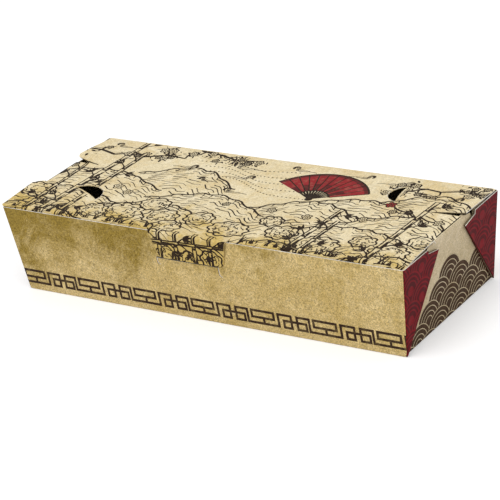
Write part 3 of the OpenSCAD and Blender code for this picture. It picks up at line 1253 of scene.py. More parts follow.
    def hill(self, left: Point, right: Point, rise: float, rows: int, bumps: float) -> None:
        """Draws a hill with a bold crest and broken contour lines below it.

        Args:
            left: Left end of the crest.
            right: Right end of the crest.
            rise: Height of the hill over the line between its ends.
            rows: Number of contour lines.
            bumps: Number of small waves along the crest.
        """
        count = max(10, round((right[0] - left[0]) / 1.5))
        crest = []
        for i in range(count + 1):
            t = i / count
            x = left[0] + (right[0] - left[0]) * t
            y = left[1] + (right[1] - left[1]) * t + rise * math.sin(math.pi * t) ** 1.3
            y += 0.06 * rise * math.sin(2 * math.pi * bumps * t) + self.rng.uniform(-0.15, 0.15)
            crest.append((x, y))
        foot = min(left[1], right[1]) - 4
        self.drawing.area([(left[0], foot)] + crest + [(right[0], foot)], Finish.LID_PAPER)
        self.ink(crest, 1.35)
        for row in range(1, rows + 1):
            drop = row * (1.7 + 0.08 * row)
            inset = min(len(crest) // 3, row // 2)
            inner = crest[inset:len(crest) - inset]
            path = [(x, y - drop + 0.45 * math.sin(x * 0.9 + row)) for x, y in inner]
            self.broken(path, 8, 5, self.rng.uniform(0.6, 1.05))
        for x, y in crest[2:-2:3]:
            size = self.rng.uniform(1.2, 3.4)
            lean = self.rng.uniform(-0.5, 0.5)
            self.ink([(x, y), (x + lean, y - size * 0.5), (x + lean * 2.4, y - size)], 0.9, (1.2, 0.5))

    def mist(self, path: list[Point]) -> None:
        """Draws a dotted line.

        Args:
            path: Points of the line.
        """
        share = 0.75
        for (x0, y0), (x1, y1) in zip(path[::2], path[1::2]):
            self.ink([(x0, y0), (x0 + (x1 - x0) * share, y0 + (y1 - y0) * share)], 0.9)

    def grass(self, at: Point, height: float, count: int) -> None:
        """Draws a tuft of grass.

        Args:
            at: Foot of the tuft.
            height: Height of the longest blade.
            count: Number of blades.
        """
        for _ in range(count):
            lean = self.rng.uniform(-0.45, 0.45)
            size = height * self.rng.uniform(0.5, 1.0)
            x = at[0] + self.rng.uniform(-1.4, 1.4)
            path = [(x + lean * size * t * t, at[1] + size * t) for t in (0, 0.35, 0.7, 1.0)]
            self.ink(path, 1.0, (1.2, 0.5))

    def fan(self, at: Point, inner: float, outer: float, start: float, stop: float, pleats: int) -> None:
        """Draws an open folding fan with a red leaf and dark sticks.

        Args:
            at: Pivot of the fan.
            inner: Radius where the leaf begins.
            outer: Radius of the leaf's edge.
            start: First angle in degrees.
            stop: Last angle in degrees.
            pleats: Number of pleats.
        """
        step = (stop - start) / pleats
        for k in range(pleats):
            a, b = start + k * step, start + (k + 1) * step
            edge = arc_path(at, outer, a, b, 3)
            mid = arc_path(at, inner + 0.4 * (outer - inner), a, b, 3)
            root = arc_path(at, inner, a, b, 3)
            self.drawing.area(edge + root[::-1], Finish.LID_RED)
            self.drawing.area(mid + root[::-1], Finish.LID_MAROON if k % 2 else Finish.LID_RED)
            self.drawing.area(edge + arc_path(at, outer - 2.0, a, b, 3)[::-1], Finish.LID_MAROON)
            self.ink([edge[0], root[0]], 0.8)
            stick = placed([(1.5, -0.35), (inner, -0.55), (inner, 0.55), (1.5, 0.35)], at, (a + b) / 2)
            self.drawing.area(stick, Finish.LID_INK)
        self.ink(arc_path(at, outer, start, stop, 30), 1.3)
        self.ink(arc_path(at, inner, start, stop, 14), 1.3)
        self.drawing.area(arc_path(at, 1.8, 0, 330, 11), Finish.LID_INK)

    def background(self) -> None:
        """Draws the far hills, the mist and the scrolls."""
        self.hill((-62, 9), (-8, 6), 13, 10, 5)
        self.hill((60, 12), (106, 14), 12, 10, 4)
        self.hill((26, 2), (84, 4), 10, 12, 6)
        for k in range(5):
            self.mist(wavy_path((-46 + 5 * k, 32 - 4 * k), (12 + 4 * k, 27 - 6 * k), 1.2, 2.2, 1.0))
        scrolls = ((-22, 29, 3.4, 1), (-8, 19, 2.6, -1), (64, 32, 3.0, -1), (6, 33, 2.4, 1),
                   (-40, 22, 2.2, -1), (74, 24, 2.2, 1), (-12, 5, 2.4, 1), (-90, 33, 2.4, 1),
                   (44, 34, 2.2, -1), (-30, 12, 2.0, 1), (92, 24, 2.4, -1))
        for x, y, size, way in scrolls:
            self.scroll((x, y), size, way)

    def middle(self) -> None:
        """Draws the fan, the boughs and the nearer hills."""
        self.fan((29, 6.5), 8.5, 25.5, 28, 152, 12)
        self.bough([(104, 33), (96, 31), (88, 32), (80, 29), (73, 30), (66, 26), (60, 27)], 2.4, 22)
        self.bough([(-104, 22), (-94, 25), (-86, 23), (-77, 27), (-68, 25), (-60, 29), (-50, 28)], 3.0, 13)
        self.bough([(-52, 41), (-44, 37), (-36, 36), (-26, 33), (-18, 34)], 2.2, 16)
        self.hill((-104, 2), (-40, -4), 9, 12, 6)
        self.hill((6, -10), (64, -6), 13, 14, 7)
        self.hill((50, -12), (112, -8), 14, 14, 6)
        self.hill((-44, -12), (20, -14), 12, 12, 6)

    def front(self) -> None:
        """Draws the clumps, the bamboo and the grass along the front."""
        self.hill((-112, -20), (-46, -24), 10, 13, 8)
        self.hill((-60, -24), (0, -26), 10, 11, 7)
        self.hill((28, -24), (100, -22), 11, 14, 9)
        clumps = (
            (-96, -20, 17, 13, 9), (-34, -17, 15, 12, 8), (-44, -27, 20, 15, 10), (-24, -27, 17, 14, 9),
            (-6, -24, 14, 12, 8), (12, -29, 19, 13, 10), (36, -25, 15, 12, 8), (56, -30, 20, 14, 10),
            (88, -28, 18, 13, 9), (73, -22, 12, 10, 7), (97, -16, 13, 11, 7), (-58, -30, 14, 12, 8),
            (-88, -31, 15, 11, 8), (26, -17, 11, 9, 7), (-16, -34, 14, 10, 8),
        )
        for x, y, width, height, bumps in clumps:
            self.cloud((x, y), width, height, bumps)
        self.hill((-118, -39), (-52, -42), 9, 7, 7)
        self.hill((14, -43), (58, -41), 9, 7, 5)
        self.hill((64, -42), (120, -40), 10, 8, 6)
        canes = (((-83, -52), (-77, 40), 3.6), ((-72.5, -52), (-71, 28), 2.8),
                 ((-90, -52), (-92, 12), 2.4), ((44, -52), (49, 2), 2.8),
                 ((51, -52), (53, -8), 2.2), ((81, -52), (84, 20), 3.0))
        for foot, top, width in canes:
            self.bamboo(foot, top, width)
        for x in range(-96, 100, 5):
            if abs(x + 2) > 23:
                self.grass((x + self.rng.uniform(-2, 2), -37.6), self.rng.uniform(3, 8), 5)
        flowers = ((-62, -6), (-54, -10), (20, -8), (62, -4), (70, 6), (94, 2), (-3, -8), (-97, 8), (38, -9))
        for x, y in flowers:
            self.blossom((x, y), self.rng.uniform(1.8, 2.6))
        self.blossom((66, 12), 2.6, Finish.LID_RED)

    def tongue(self) -> None:
        """Draws what runs on over the tongue: a low fence of bamboo, leaves and clumps."""
        for x, y, width, height, bumps in ((-13, -50, 12, 9, 7), (-2, -52, 13, 9, 7), (9, -50, 11, 9, 7)):
            self.cloud((x, y), width, height, bumps)
        for x in (-17.5, -9, 0.5, 8.5):
            self.bamboo((x, -55), (x + 1.4, -37), 1.9)
        self.bamboo((-24, -45), (20, -43.5), 1.6)

    def paint(self) -> None:
        """Draws the whole picture, from back to front."""
        self.background()
        self.middle()
        self.front()
        self.tongue()


# The box


@dataclass
class BoxSizes:
    """Sizes of the folded box in millimetres, the same as in the part's source."""

    board: float = 0.5
    ply_gap: float = 0.2
    base_length: float = 191.0
    base_width: float = 73.0
    height: float = 40.4
    end_flare: float = 4.5
    side_flare: float = 2.6
    lid_top: float = 41.0
    crease: float = 0.9

    @property
    def end_lean(self) -> float:
        """Lean of the end walls in degrees."""
        return math.degrees(math.atan(self.end_flare / self.height))

    @property
    def side_lean(self) -> float:
        """Lean of the front and back walls in degrees."""
        return math.degrees(math.atan(self.side_flare / self.height))

    @property
    def end_slant(self) -> float:
        """Height of the end walls up their slope."""
        return math.hypot(self.height, self.end_flare)

    @property
    def side_slant(self) -> float:
        """Height of the front and back walls up their slope."""
        return math.hypot(self.height, self.side_flare)

    @property
    def gusset_out(self) -> float:
        """How far the gusset's outer face lies outside the end wall."""
        return 2 * (self.board + self.ply_gap)

    def wall_panel(self, turn: float, half: float, lean: float, out: float = 0.0) -> Panel:
        """Gives the plane of a wall's printed face.

        Args:
            turn: Direction of the wall round the box: 0 for the front, 90 for the right end.
            half: Distance of the wall's foot from the middle.
            lean: Lean of the wall in degrees.
            out: Distance outside the wall's own face.

        Returns:
            The plane, with x along the wall and y up its slope.
        """
        spin = Matrix.Rotation(math.radians(turn), 3, "Z")
        tilt = math.radians(lean)
        along = Vector((1, 0, 0))
        up = Vector((0, -math.sin(tilt), math.cos(tilt)))
        origin = Vector((0, -half, 0)) + along.cross(up) * out
        return Panel(spin @ origin, spin @ along, spin @ up)


@dataclass
class Tray:
    """The tray: base, side walls with their outer webs, end walls with their necks, and inner webs."""

    sizes: BoxSizes
    finishes: Finishes
    neck_half: float = 13.6
    shoulder: float = 17.6
    neck_bend: float = 1.8
    notch_width: float = 1.8
    notch_depth: float = 3.0
    tip: Point = (11.0, 36.8)
    step: float = 1.8
    relief: Point = (9.0, 2.0)
    flange: float = 1.6
    slit_middle: float = -4.3
    slit_half: float = 15.7
    slit_height: float = 28.08
    slit_leg: float = 4.6
    slit_hook: float = 1.6
    slit_left_short: float = 1.3
    slit_line: float = 0.36
    slit_shade: float = 0.22
    slit_over: float = 0.15
    slit_width: float = 0.7
    corner_angle: float = 89.6
    corner_foot: float = 0.25
    wall_bow: float = 0.25
    end_inset: float = 0.62
    base_lift: float = 0.08

    def corner_crease(self, way: int) -> Crease:
        """Gives the fold where a side wall turns to its outer web.

        Args:
            way: 1 for the right corner, -1 for the left.

        Returns:
            The crease on the side wall's sheet.
        """
        s = self.sizes
        run = math.hypot(s.end_flare, s.side_slant)
        side = (way * s.side_slant / run, -s.end_flare / run)
        at = (way * s.base_length / 2 + side[0] * s.gusset_out, side[1] * s.gusset_out)
        return Crease(at, side, self.corner_angle, s.crease)

    def web_to_sheet(self, point: Point, way: int) -> Point:
        """Takes a point of the end wall to the side wall's flat sheet.

        Args:
            point: Distance from the box's middle line, positive, and height up the end wall.
            way: 1 for the right corner, -1 for the left.

        Returns:
            The point on the side wall's sheet.
        """
        s = self.sizes
        run = math.hypot(s.side_flare, s.end_slant)
        dx = point[0] - s.base_width / 2
        away = (-dx * s.end_slant + point[1] * s.side_flare) / run
        rise = (dx * s.side_flare + point[1] * s.end_slant) / run
        crease = self.corner_crease(way)
        up = (-crease.side[1] * way, crease.side[0] * way)
        return (crease.at[0] + crease.side[0] * away + up[0] * rise,
                crease.at[1] + crease.side[1] * away + up[1] * rise)

    def web_outline(self) -> list[Point]:
        """Gives the shape of a web on the end wall.

        Returns:
            Its corners, from its tip to its top outer corner.
        """
        s = self.sizes
        top = s.end_slant - 0.1
        lean = math.cos(math.radians(s.end_lean))
        inner = self.shoulder + self.notch_width
        return [(self.tip[0], self.tip[1] / lean), (inner, s.end_slant - self.step),
                (inner, top), (s.base_width / 2 + s.side_flare, top)]

    def side_outline(self) -> list[Point]:
        """Gives the shape of a side wall with its two outer webs and the fold to the base.

        Returns:
            The corners of the outline.
        """
        s = self.sizes
        half = s.base_length / 2
        foot = self.web_to_sheet((s.base_width / 2, self.corner_foot), 1)
        right = [(half - 1.2, -self.flange), (half - 0.4, 0.0), foot]
        right += [self.web_to_sheet(p, 1) for p in self.web_outline()]
        top_right = right[-1]
        right[-1] = (top_right[0], s.side_slant)
        return right + [(-x, y) for x, y in reversed(right)]

    def cut_slit(self, drawing: Drawing) -> None:
        """Cuts the slit for the tongue, with its hooked ends, their torn white rims and a dark line of
        painted shade beside each hook.

        Args:
            drawing: The front wall's drawing.
        """
        level = self.slit_height
        hook = self.slit_hook
        for way, length in ((-1, self.slit_leg - self.slit_left_short), (1, self.slit_leg)):
            x = self.slit_middle + way * self.slit_half
            leg = [(x, level + 0.2), (x, level - length + hook)]
            curve = arc_path((x + hook, level - length + hook), hook, 180, 262, 8)
            # A dark ink line just beside each hook is painted shade along the cut.
            shade = [(px - self.slit_shade, py) for px, py in leg + curve[1:]]
            drawing.stroke(shade, self.slit_line, Finish.WALL_INK)
            drawing.stroke(leg + curve[1:], self.slit_line, Finish.RAW, (1.0, 0.8))
        left = self.slit_middle - self.slit_half - self.slit_over
        right = self.slit_middle + self.slit_half + self.slit_over
        drawing.stroke([(left, level), (right, level)], self.slit_width, Finish.CUT_OUT)

    def side_wall(self, name: str, turn: float, with_slit: bool) -> bpy.types.Object:
        """Builds a side wall with the outer webs that wrap round its ends.

        Args:
            name: Name of the piece.
            turn: 0 for the front, 180 for the back.
            with_slit: Whether the wall has the slit for the tongue.

        Returns:
            The piece.
        """
        s = self.sizes
        drawing = Drawing(self.side_outline(), Finish.WALL_PAPER)
        FretBand().paint(drawing)
        corner = s.base_width / 2
        web = ((corner + 0.15, -2), (corner + s.side_flare + 0.4, 44), (5, 44), (5, -2))
        foot_mark = ((corner, 5.5), (corner + 1.0, -1.0), (corner - 2, -1.0))
        for way in (1, -1):
            to_sheet = partial(self.web_to_sheet, way=way)
            drawing.area([to_sheet(p) for p in web], Finish.MAROON, zone="web")
            drawing.area([to_sheet(p) for p in foot_mark], Finish.MAROON)
            WEB_SCALES.paint(drawing, (8, -4), (44, 46), (17.0, 6.6), to_sheet)
        if with_slit:
            self.cut_slit(drawing)
        creases = (
            Crease((0, 0), (0, -1), 90 - s.side_lean, s.crease),
            self.corner_crease(1), self.corner_crease(-1),
        )
        foot, tip = (corner, self.corner_foot), self.web_outline()[0]
        folds = []
        for way in (1, -1):
            folds.append((self.web_to_sheet(foot, way), self.web_to_sheet(tip, way), Finish.MAROON))
        panel = s.wall_panel(turn, corner, s.side_lean)
        sheet = Sheet(name, panel, drawing, creases, self.side_bow, folded_edges=tuple(folds))
        return sheet.build(self.finishes)

    def side_bow(self, x: float, y: float) -> float:
        """Gives how far a side wall's board bows out at a point of its sheet, in millimetres."""
        rise = math.sin(math.pi * clamped(y / self.sizes.side_slant))
        return self.wall_bow * rise * math.cos(x / 64) ** 2

    def end_outline(self) -> list[Point]:
        """Gives the shape of an end wall with its neck, its notches and the fold to the base.

        Returns:
            The corners of the outline.
        """
        s = self.sizes
        foot, top = s.base_width / 2 - 0.6, s.base_width / 2 + s.side_flare - self.end_inset
        level = s.end_slant
        outer = self.shoulder + self.notch_width
        low = level - self.notch_depth
        round_part = self.notch_width / 2
        notch = arc_path((outer - round_part, low + round_part), round_part, 0, -180, 8)
        step = top + self.end_inset - self.relief[0]
        right = [(foot - 0.6, -self.flange), (foot, 0.0), (top, level - self.relief[1]),
                 (step, level - self.relief[1]), (step, level),
                 (outer, level), *notch, (self.shoulder, level - 0.5), (self.neck_half + 0.9, level + 0.1),
                 (self.neck_half, level + 0.8), (self.neck_half, level + 2.1)]
        return right + [(-x, y) for x, y in reversed(right)]

    def end_wall(self, name: str, turn: float) -> bpy.types.Object:
        """Builds an end wall with its neck that bends over the rim.

        Args:
            name: Name of the piece.
            turn: 90 for the right end, -90 for the left.

        Returns:
            The piece.
        """
        s = self.sizes
        drawing = Drawing(self.end_outline(), Finish.END_PAPER)
        END_SCALES.paint(drawing, (-50, -7), (50, 40), (16.6, 6.6), unchanged, self.swell)
        creases = (
            Crease((0, 0), (0, -1), 90 - s.end_lean, s.crease),
            Crease((0, s.end_slant), (0, 1), 90 + s.end_lean, self.neck_bend, self.on_neck),
        )
        panel = s.wall_panel(turn, s.base_length / 2, s.end_lean)
        # The end wall's cut rims are coloured dark as painted shade for the gaps at its top.
        return Sheet(name, panel, drawing, creases, rim=Finish.INSIDE).build(self.finishes)

    def swell(self, x: float) -> float:
        """Gives the height of the scales' upper limit on an end wall."""
        return 16.5 + 5.0 * math.cos(x / 9.5) + 0.22 * x

    def on_neck(self, x: float, y: float) -> bool:
        """Says whether a point of the end wall's sheet lies in line with the neck."""
        return abs(x) < self.shoulder + 0.1

    def inner_web(self, name: str, turn: float, way: int) -> bpy.types.Object:
        """Builds the inner layer of a web, which lies between the end wall and the outer layer.

        Args:
            name: Name of the piece.
            turn: 90 for the right end, -90 for the left.
            way: 1 for the web at positive x of the wall, -1 for the other.

        Returns:
            The piece.
        """
        s = self.sizes
        tip, low_step, high_step, corner = self.web_outline()
        edge = corner[0] - 0.9
        inner, low, high = corner[0] - self.relief[0], s.end_slant - self.relief[1], high_step[1] - 0.1
        outline = [(s.base_width / 2 - 1.1, 1.0), (edge - 0.1, low), (inner, low), (inner, high),
                   (high_step[0] + 0.15, high), (low_step[0] + 0.15, low_step[1]), (tip[0] + 0.4, tip[1])]
        # The inner layer is coloured dark all over as painted shade, so that its top rim shows as a shadowed
        # gap above the gusset.
        drawing = Drawing([(way * x, y) for x, y in outline], Finish.INSIDE)
        panel = s.wall_panel(turn, s.base_length / 2, s.end_lean, s.board + s.ply_gap)
        fold = ((way * outline[0][0], outline[0][1]), (way * outline[-1][0], outline[-1][1]), Finish.MAROON)
        sheet = Sheet(name, panel, drawing, grid=9.0, rim=Finish.INSIDE, folded_edges=(fold,))
        return sheet.build(self.finishes)

    def base(self) -> bpy.types.Object:
        """Builds the base between the four folds at its edges, just off the floor.

        Returns:
            The piece.
        """
        s = self.sizes
        x, y = s.base_length / 2 - self.flange, s.base_width / 2 - self.flange
        outline = [(-x, -y), (x, -y), (x, y), (-x, y)]
        drawing = Drawing(outline, Finish.WALL_PAPER)
        panel = Panel(Vector((0, 0, self.base_lift)), Vector((1, 0, 0)), Vector((0, -1, 0)))
        return Sheet("tray_base", panel, drawing, grid=8.0).build(self.finishes)

    def build(self) -> list[bpy.types.Object]:
        """Builds the whole tray.

        Returns:
            Its pieces.
        """
        pieces = [
            self.base(),
            self.side_wall("tray_front_wall", 0, True),
            self.side_wall("tray_back_wall", 180, False),
            self.end_wall("tray_right_end", 90),
            self.end_wall("tray_left_end", -90),
        ]
        for end, turn in (("right", 90), ("left", -90)):
            for way in (1, -1):
                side = "back" if way * turn > 0 else "front"
                pieces.append(self.inner_web(f"tray_inner_web_{end}_{side}", turn, way))
        for piece in pieces:
            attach(piece, "tray")
            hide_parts("tray")
        return pieces


@dataclass(frozen=True)
class HalfMoon:
    """A half-moon cut in the lid: the middle and turn of its fold line, half its length, and its rise."""

    name: str
    at: Point
    turn: float
    half: float
    rise: float

    def outline(self, grow: float = 0.0) -> list[Point]:
        """Gives the half-moon's outline on the lid.

        Args:
            grow: How much larger its arc's radius is drawn.

        Returns:
            The points of the outline.
        """
        radius = (self.half ** 2 + self.rise ** 2) / (2 * self.rise)
        spread = math.degrees(math.asin(min(1.0, self.half / radius)))
        path = arc_path((0, self.rise - radius), radius + grow, 90 - spread, 90 + spread, 30)
        return placed(path, self.at, self.turn)


@dataclass
class Lid:
    """The lid: its top, the flaps behind the front wall, the end tabs, the half-moons and the tongue."""

    sizes: BoxSizes
    finishes: Finishes
    right_end: float = 100.8
    left_end: float = 102.4
    rear_left: float = 99.2
    front: float = -38.0
    ear_front: float = -38.55
    back: float = 37.95
    bend: float = 2.0
    flap_depth: float = 12.1
    flap_half: float = 95.0
    tab_edge: float = 99.2
    slit_inner: Point = (86.0, 9.3)
    slit_outer: float = 12.6
    slit_width: float = 0.7
    tongue_x: float = -2.0
    tongue_root: float = 20.0
    tongue_tip: float = 16.8
    tongue_line: float = -40.1
    tongue_reach: float = 12.75
    tongue_round: float = 2.5
    tongue_play: float = 0.15
    tongue_bend: float = 1.0
    tongue_overlap: float = 1.45
    tongue_settle: float = 0.42
    moon_play: float = 0.15
    moon_fold_in: float = 0.5
    crease_inset: float = 1.2
    crease_below: float = 1.3
    crease_above: float = 1.25
    moon_angle: float = 78.0
    moon_bend: float = 1.6
    moon_bow: float = 0.8
    wave: float = 0.16
    small_wave: float = 0.1
    curl_start: float = 84.0
    curl_length: float = 16.0
    curl_limit: float = 1.15
    end_rise: float = 0.1
    back_left_curl: float = 2.1
    front_left_curl: float = 0.7
    right_curl: float = 0.45
    corner_dip: float = 1.5
    tab_drop: float = 0.12
    tab_bend: float = 0.4
    tab_bend_start: float = 95.0
    moons: tuple[HalfMoon, ...] = (
        HalfMoon("front_half_moon", at=(-72.3, -16.8), turn=-27.0, half=9.8, rise=7.6),
        HalfMoon("back_half_moon", at=(65.0, 22.9), turn=100.0, half=7.4, rise=6.0),
    )

    @property
    def panel(self) -> Panel:
        """The plane of the lid's printed face."""
        return Panel(Vector((0, 0, self.sizes.lid_top)), Vector((1, 0, 0)), Vector((0, 1, 0)))

    @property
    def tongue_start(self) -> float:
        """Where the tongue's own sheet begins on the lid."""
        return self.tongue_line + self.tongue_overlap

    def lift(self, x: float, y: float) -> float:
        """Gives how far the lid's board stands off its plane, with the curl of its ends.

        Args:
            x: Place along the lid.
            y: Place across the lid.

        Returns:
            The height in millimetres.
        """
        wave = self.wave * math.sin(x / 17 + 0.6) * math.cos(y / 23)
        wave += self.small_wave * math.sin(x / 41 - y / 19)
        wave *= clamped((38 - abs(y)) / 10)
        reach = clamped((abs(x) - self.curl_start) / self.curl_length, self.curl_limit)
        opening = self.slit_outer - self.slit_inner[1]
        split = self.slit_inner[1] + opening * max(0.0, (abs(x) - self.slit_inner[0]) / 14)
        if abs(y) < split:
            bend = max((abs(x) - self.tab_bend_start) / 4, 0.0) ** 2
            return wave * (1 - min(reach, 1)) - self.tab_drop * reach - self.tab_bend * bend
        near_slit = clamped((36 - abs(y)) / 18)
        if x < 0:
            curl = self.back_left_curl if y > 0 else self.front_left_curl
            return wave + reach ** 2 * (self.end_rise + near_slit * curl)
        dip = self.corner_dip * (clamped((-y - 27) / 11) * clamped((x - 91) / 9)) ** 1.6
        return wave + self.right_curl * reach ** 2 * near_slit + self.end_rise * reach - dip

    def outline(self) -> list[Point]:
        """Gives the shape of the lid's sheet, with its front flaps but without the tongue.

        Returns:
            The corners of the outline.
        """
        left, right = self.tongue_x - self.tongue_root, self.tongue_x + self.tongue_root
        play, deep = self.tongue_play, self.front - self.flap_depth
        ear, side = self.ear_front, self.flap_half
        start = self.tongue_start
        path = arc_path((-self.left_end + 1.4, ear + 1.4), 1.4, 180, 270, 5)
        path += [(-side, ear), (-side + 0.1, deep + 2), (-side + 2, deep)]
        path += [(left - play - 2, deep), (left - play, deep + 2), (left - play, self.front + 2.3)]
        path += [(left, self.front + 1.9), (left, start), (right, start), (right, self.front + 1.9)]
        path += [(right + play, self.front + 2.3), (right + play, deep + 2), (right + play + 2, deep)]
        path += [(side - 2, deep), (side - 0.1, deep + 2), (side, ear)]
        path += arc_path((self.right_end - 3.0, ear + 3.0), 3.0, 270, 360, 7)
        path += arc_path((self.right_end - 1.0, self.back - 1.0), 1.0, 0, 90, 4)
        rear = -self.rear_left
        path += [(rear + 0.5, self.back), (rear, self.back - 0.8), (rear, 15.2)]
        return path + [(rear + 0.8, 13.2), (rear + 2.6, 12.2), (-self.left_end, 12.2)]

    def cut_slits(self, drawing: Drawing) -> list[tuple[Point, Point, Finish]]:
        """Cuts the two slits and the short middle tab at each end.

        Args:
            drawing: The drawing of the lid's sheet.

        Returns:
            The long edges of the slits, which lie in the shade.
        """
        shaded = []
        x0, y0 = self.slit_inner
        x1 = self.left_end + 1
        for sx in (-1, 1):
            for sy in (-1, 1):
                start = y0 + (1.3 if sy > 0 else 0.0)
                y1 = self.slit_outer + (0.3 if sy > 0 else 0.1)
                wide = self.slit_width * (1.9 if sy > 0 else 0.5)
                slit = arc_path((x0, start), 0.35, 90, 270, 6)
                slit += [(x1, y1 - wide), (x1, y1 + wide * 0.3)]
                slit = [(sx * x, sy * y) for x, y in slit]
                drawing.area(slit, Finish.CUT_OUT)
                # The slits' long rims are coloured dark as painted shade.
                shaded += [(a, b, Finish.INSIDE) for a, b in zip(slit, slit[1:] + slit[:1])]
            edge = [(sx * self.tab_edge - sx * 0.3, y) for y in (-9, -3, 3, 9, 12.2)]
            drawing.stroke(edge, 0.5, Finish.LID_INK)
            half = self.slit_outer
            tab = [(self.tab_edge, -half), (x1, -half), (x1, half), (self.tab_edge, half)]
            drawing.area([(sx * x, y) for x, y in tab], Finish.CUT_OUT)
            gap = [(self.flap_half - 0.1, self.front - 1), (self.flap_half + 0.1, self.front - 1),
                   (self.flap_half + 0.1, self.front + 2.3), (self.flap_half - 0.1, self.front + 2.3)]
            drawing.area([(sx * x, y) for x, y in gap], Finish.CUT_OUT)
        return shaded

    def cut_moons(self, drawing: Drawing) -> None:
        """Cuts the half-moons, with torn white nibs along their arcs.

        Args:
            drawing: The drawing of the lid's sheet.
        """
        rng = random.Random(7)
        for moon in self.moons:
            rim = moon.outline(0.1)
            for k in range(len(rim) - 2):
                if rng.random() < 0.45:
                    width = rng.uniform(0.3, 0.8)
                    drawing.stroke(rim[k:k + rng.randint(2, 3)], width, Finish.RAW, (0.4, 1.0))
            torn = [(x + rng.uniform(-0.16, 0.16), y + rng.uniform(-0.16, 0.16)) for x, y in moon.outline()]
            drawing.area(torn, Finish.CUT_OUT)

    def top(self, picture: Drawing) -> bpy.types.Object:
        """Builds the lid's top with its front flaps.

        Args:
            picture: The drawing, with the garden on it.

        Returns:
            The piece.
        """
        shaded = self.cut_slits(picture)
        self.cut_moons(picture)
        bend = Crease((0, self.front), (0, -1), 90 + self.sizes.side_lean, self.bend, self.on_flap)
        shaded.append(((self.right_end, self.ear_front + 3), (self.right_end, self.back - 1), Finish.RAW))
        sheet = Sheet("lid_top", self.panel, picture, (bend,), self.lift, 2.5, rim=Finish.LID_PAPER,
                      folded_edges=tuple(shaded))
        return sheet.build(self.finishes)

    def on_flap(self, x: float, y: float) -> bool:
        """Says whether a point of the lid's sheet lies in line with a tuck flap."""
        gap = self.tongue_root + 0.08
        return abs(x) < self.flap_half and not self.tongue_x - gap < x < self.tongue_x + gap

    def moon_tab(self, moon: HalfMoon) -> bpy.types.Object:
        """Builds a half-moon that is pushed down into the box.

        Args:
            moon: The half-moon.

        Returns:
            The piece.
        """
        drawing = Drawing(moon.outline(-self.moon_play), Finish.LID_PAPER)
        side = placed([(0, 1)], (0, 0), moon.turn)[0]
        reach = self.moon_bend * math.tan(math.radians(self.moon_angle) / 2) - self.moon_fold_in
        at = (moon.at[0] + side[0] * reach, moon.at[1] + side[1] * reach)
        crease = Crease(at, side, self.moon_angle, self.moon_bend, bow=self.moon_bow, half=moon.half)
        return Sheet(moon.name, self.panel, drawing, (crease,), self.lift, 0.9).build(self.finishes)

    def back_crease(self) -> bpy.types.Object:
        """Builds the soft fold from the back wall to the lid.

        Returns:
            The piece.
        """
        s = self.sizes
        slant = math.hypot(s.lid_top, s.side_flare * s.lid_top / s.height)
        half = self.right_end - self.crease_inset
        low, high = slant - self.crease_below, slant + self.crease_above
        outline = [(-half, low), (half, low), (half, high), (-half, high)]
        drawing = Drawing(outline, Finish.WALL_PAPER)
        lid_side = [(-half, slant), (half, slant), (half, slant + 2), (-half, slant + 2)]
        drawing.area(lid_side, Finish.LID_PAPER)
        crease = Crease((0, slant), (0, 1), 90 + s.side_lean, s.crease)
        panel = s.wall_panel(180, s.base_width / 2, s.side_lean)
        piece = Sheet("lid_back_crease", panel, drawing, (crease,)).build(self.finishes)
        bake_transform(piece)
        return piece

    def tongue_outline(self) -> list[Point]:
        """Gives the shape of the tongue, from the lid to its tip, on the lid's flat sheet.

        Returns:
            The corners of the outline.
        """
        x, root, tip = self.tongue_x, self.tongue_root, self.tongue_tip
        low = self.tongue_line - self.tongue_reach
        r = self.tongue_round
        right = arc_path((x + tip - r, low + r), r, -90, -10, 6)
        left = arc_path((x - tip + r, low + r), r, 190, 270, 6)
        return [(x - root, self.tongue_start), *left, *right, (x + root, self.tongue_start)]

    def tongue(self, picture: Drawing) -> bpy.types.Object:
        """Builds the tongue, with its soft fold over the front wall's edge.

        Args:
            picture: The drawing, with the garden on it.

        Returns:
            The piece.
        """
        lean = 90 + self.sizes.side_lean
        crease = Crease((0, self.tongue_line), (0, -1), lean, self.tongue_bend)

        def settle(x: float, y: float) -> float:
            """Lets the tip lie close to the wall."""
            t = clamped((self.tongue_line - 3 - y) / 8)
            return self.lift(x, self.front) * (1 - t) - self.tongue_settle * t * t * (3 - 2 * t)

        sheet = Sheet("tongue_flap", self.panel, picture, (crease,), settle, 2.5, rim=Finish.LID_PAPER)
        piece = sheet.build(self.finishes)
        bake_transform(piece)
        return piece

    def build(self) -> list[bpy.types.Object]:
        """Builds the whole lid with its tongue.

        Returns:
            The pieces.
        """
        pictures = []
        for outline in (self.outline(), self.tongue_outline()):
            drawing = Drawing(outline, Finish.LID_PAPER)
            GardenPrint(drawing).paint()
            pictures.append(drawing)
        top = self.top(pictures[0])
        tabs = [self.moon_tab(moon) for moon in self.moons]
        for piece in [top, *tabs]:
            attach(piece, "lid")
        crease = self.back_crease()
        tongue = self.tongue(pictures[1])
        for piece in [top, *tabs, crease]:
            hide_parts("lid")
        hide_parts("tongue")
        return [top, *tabs, crease, tongue]


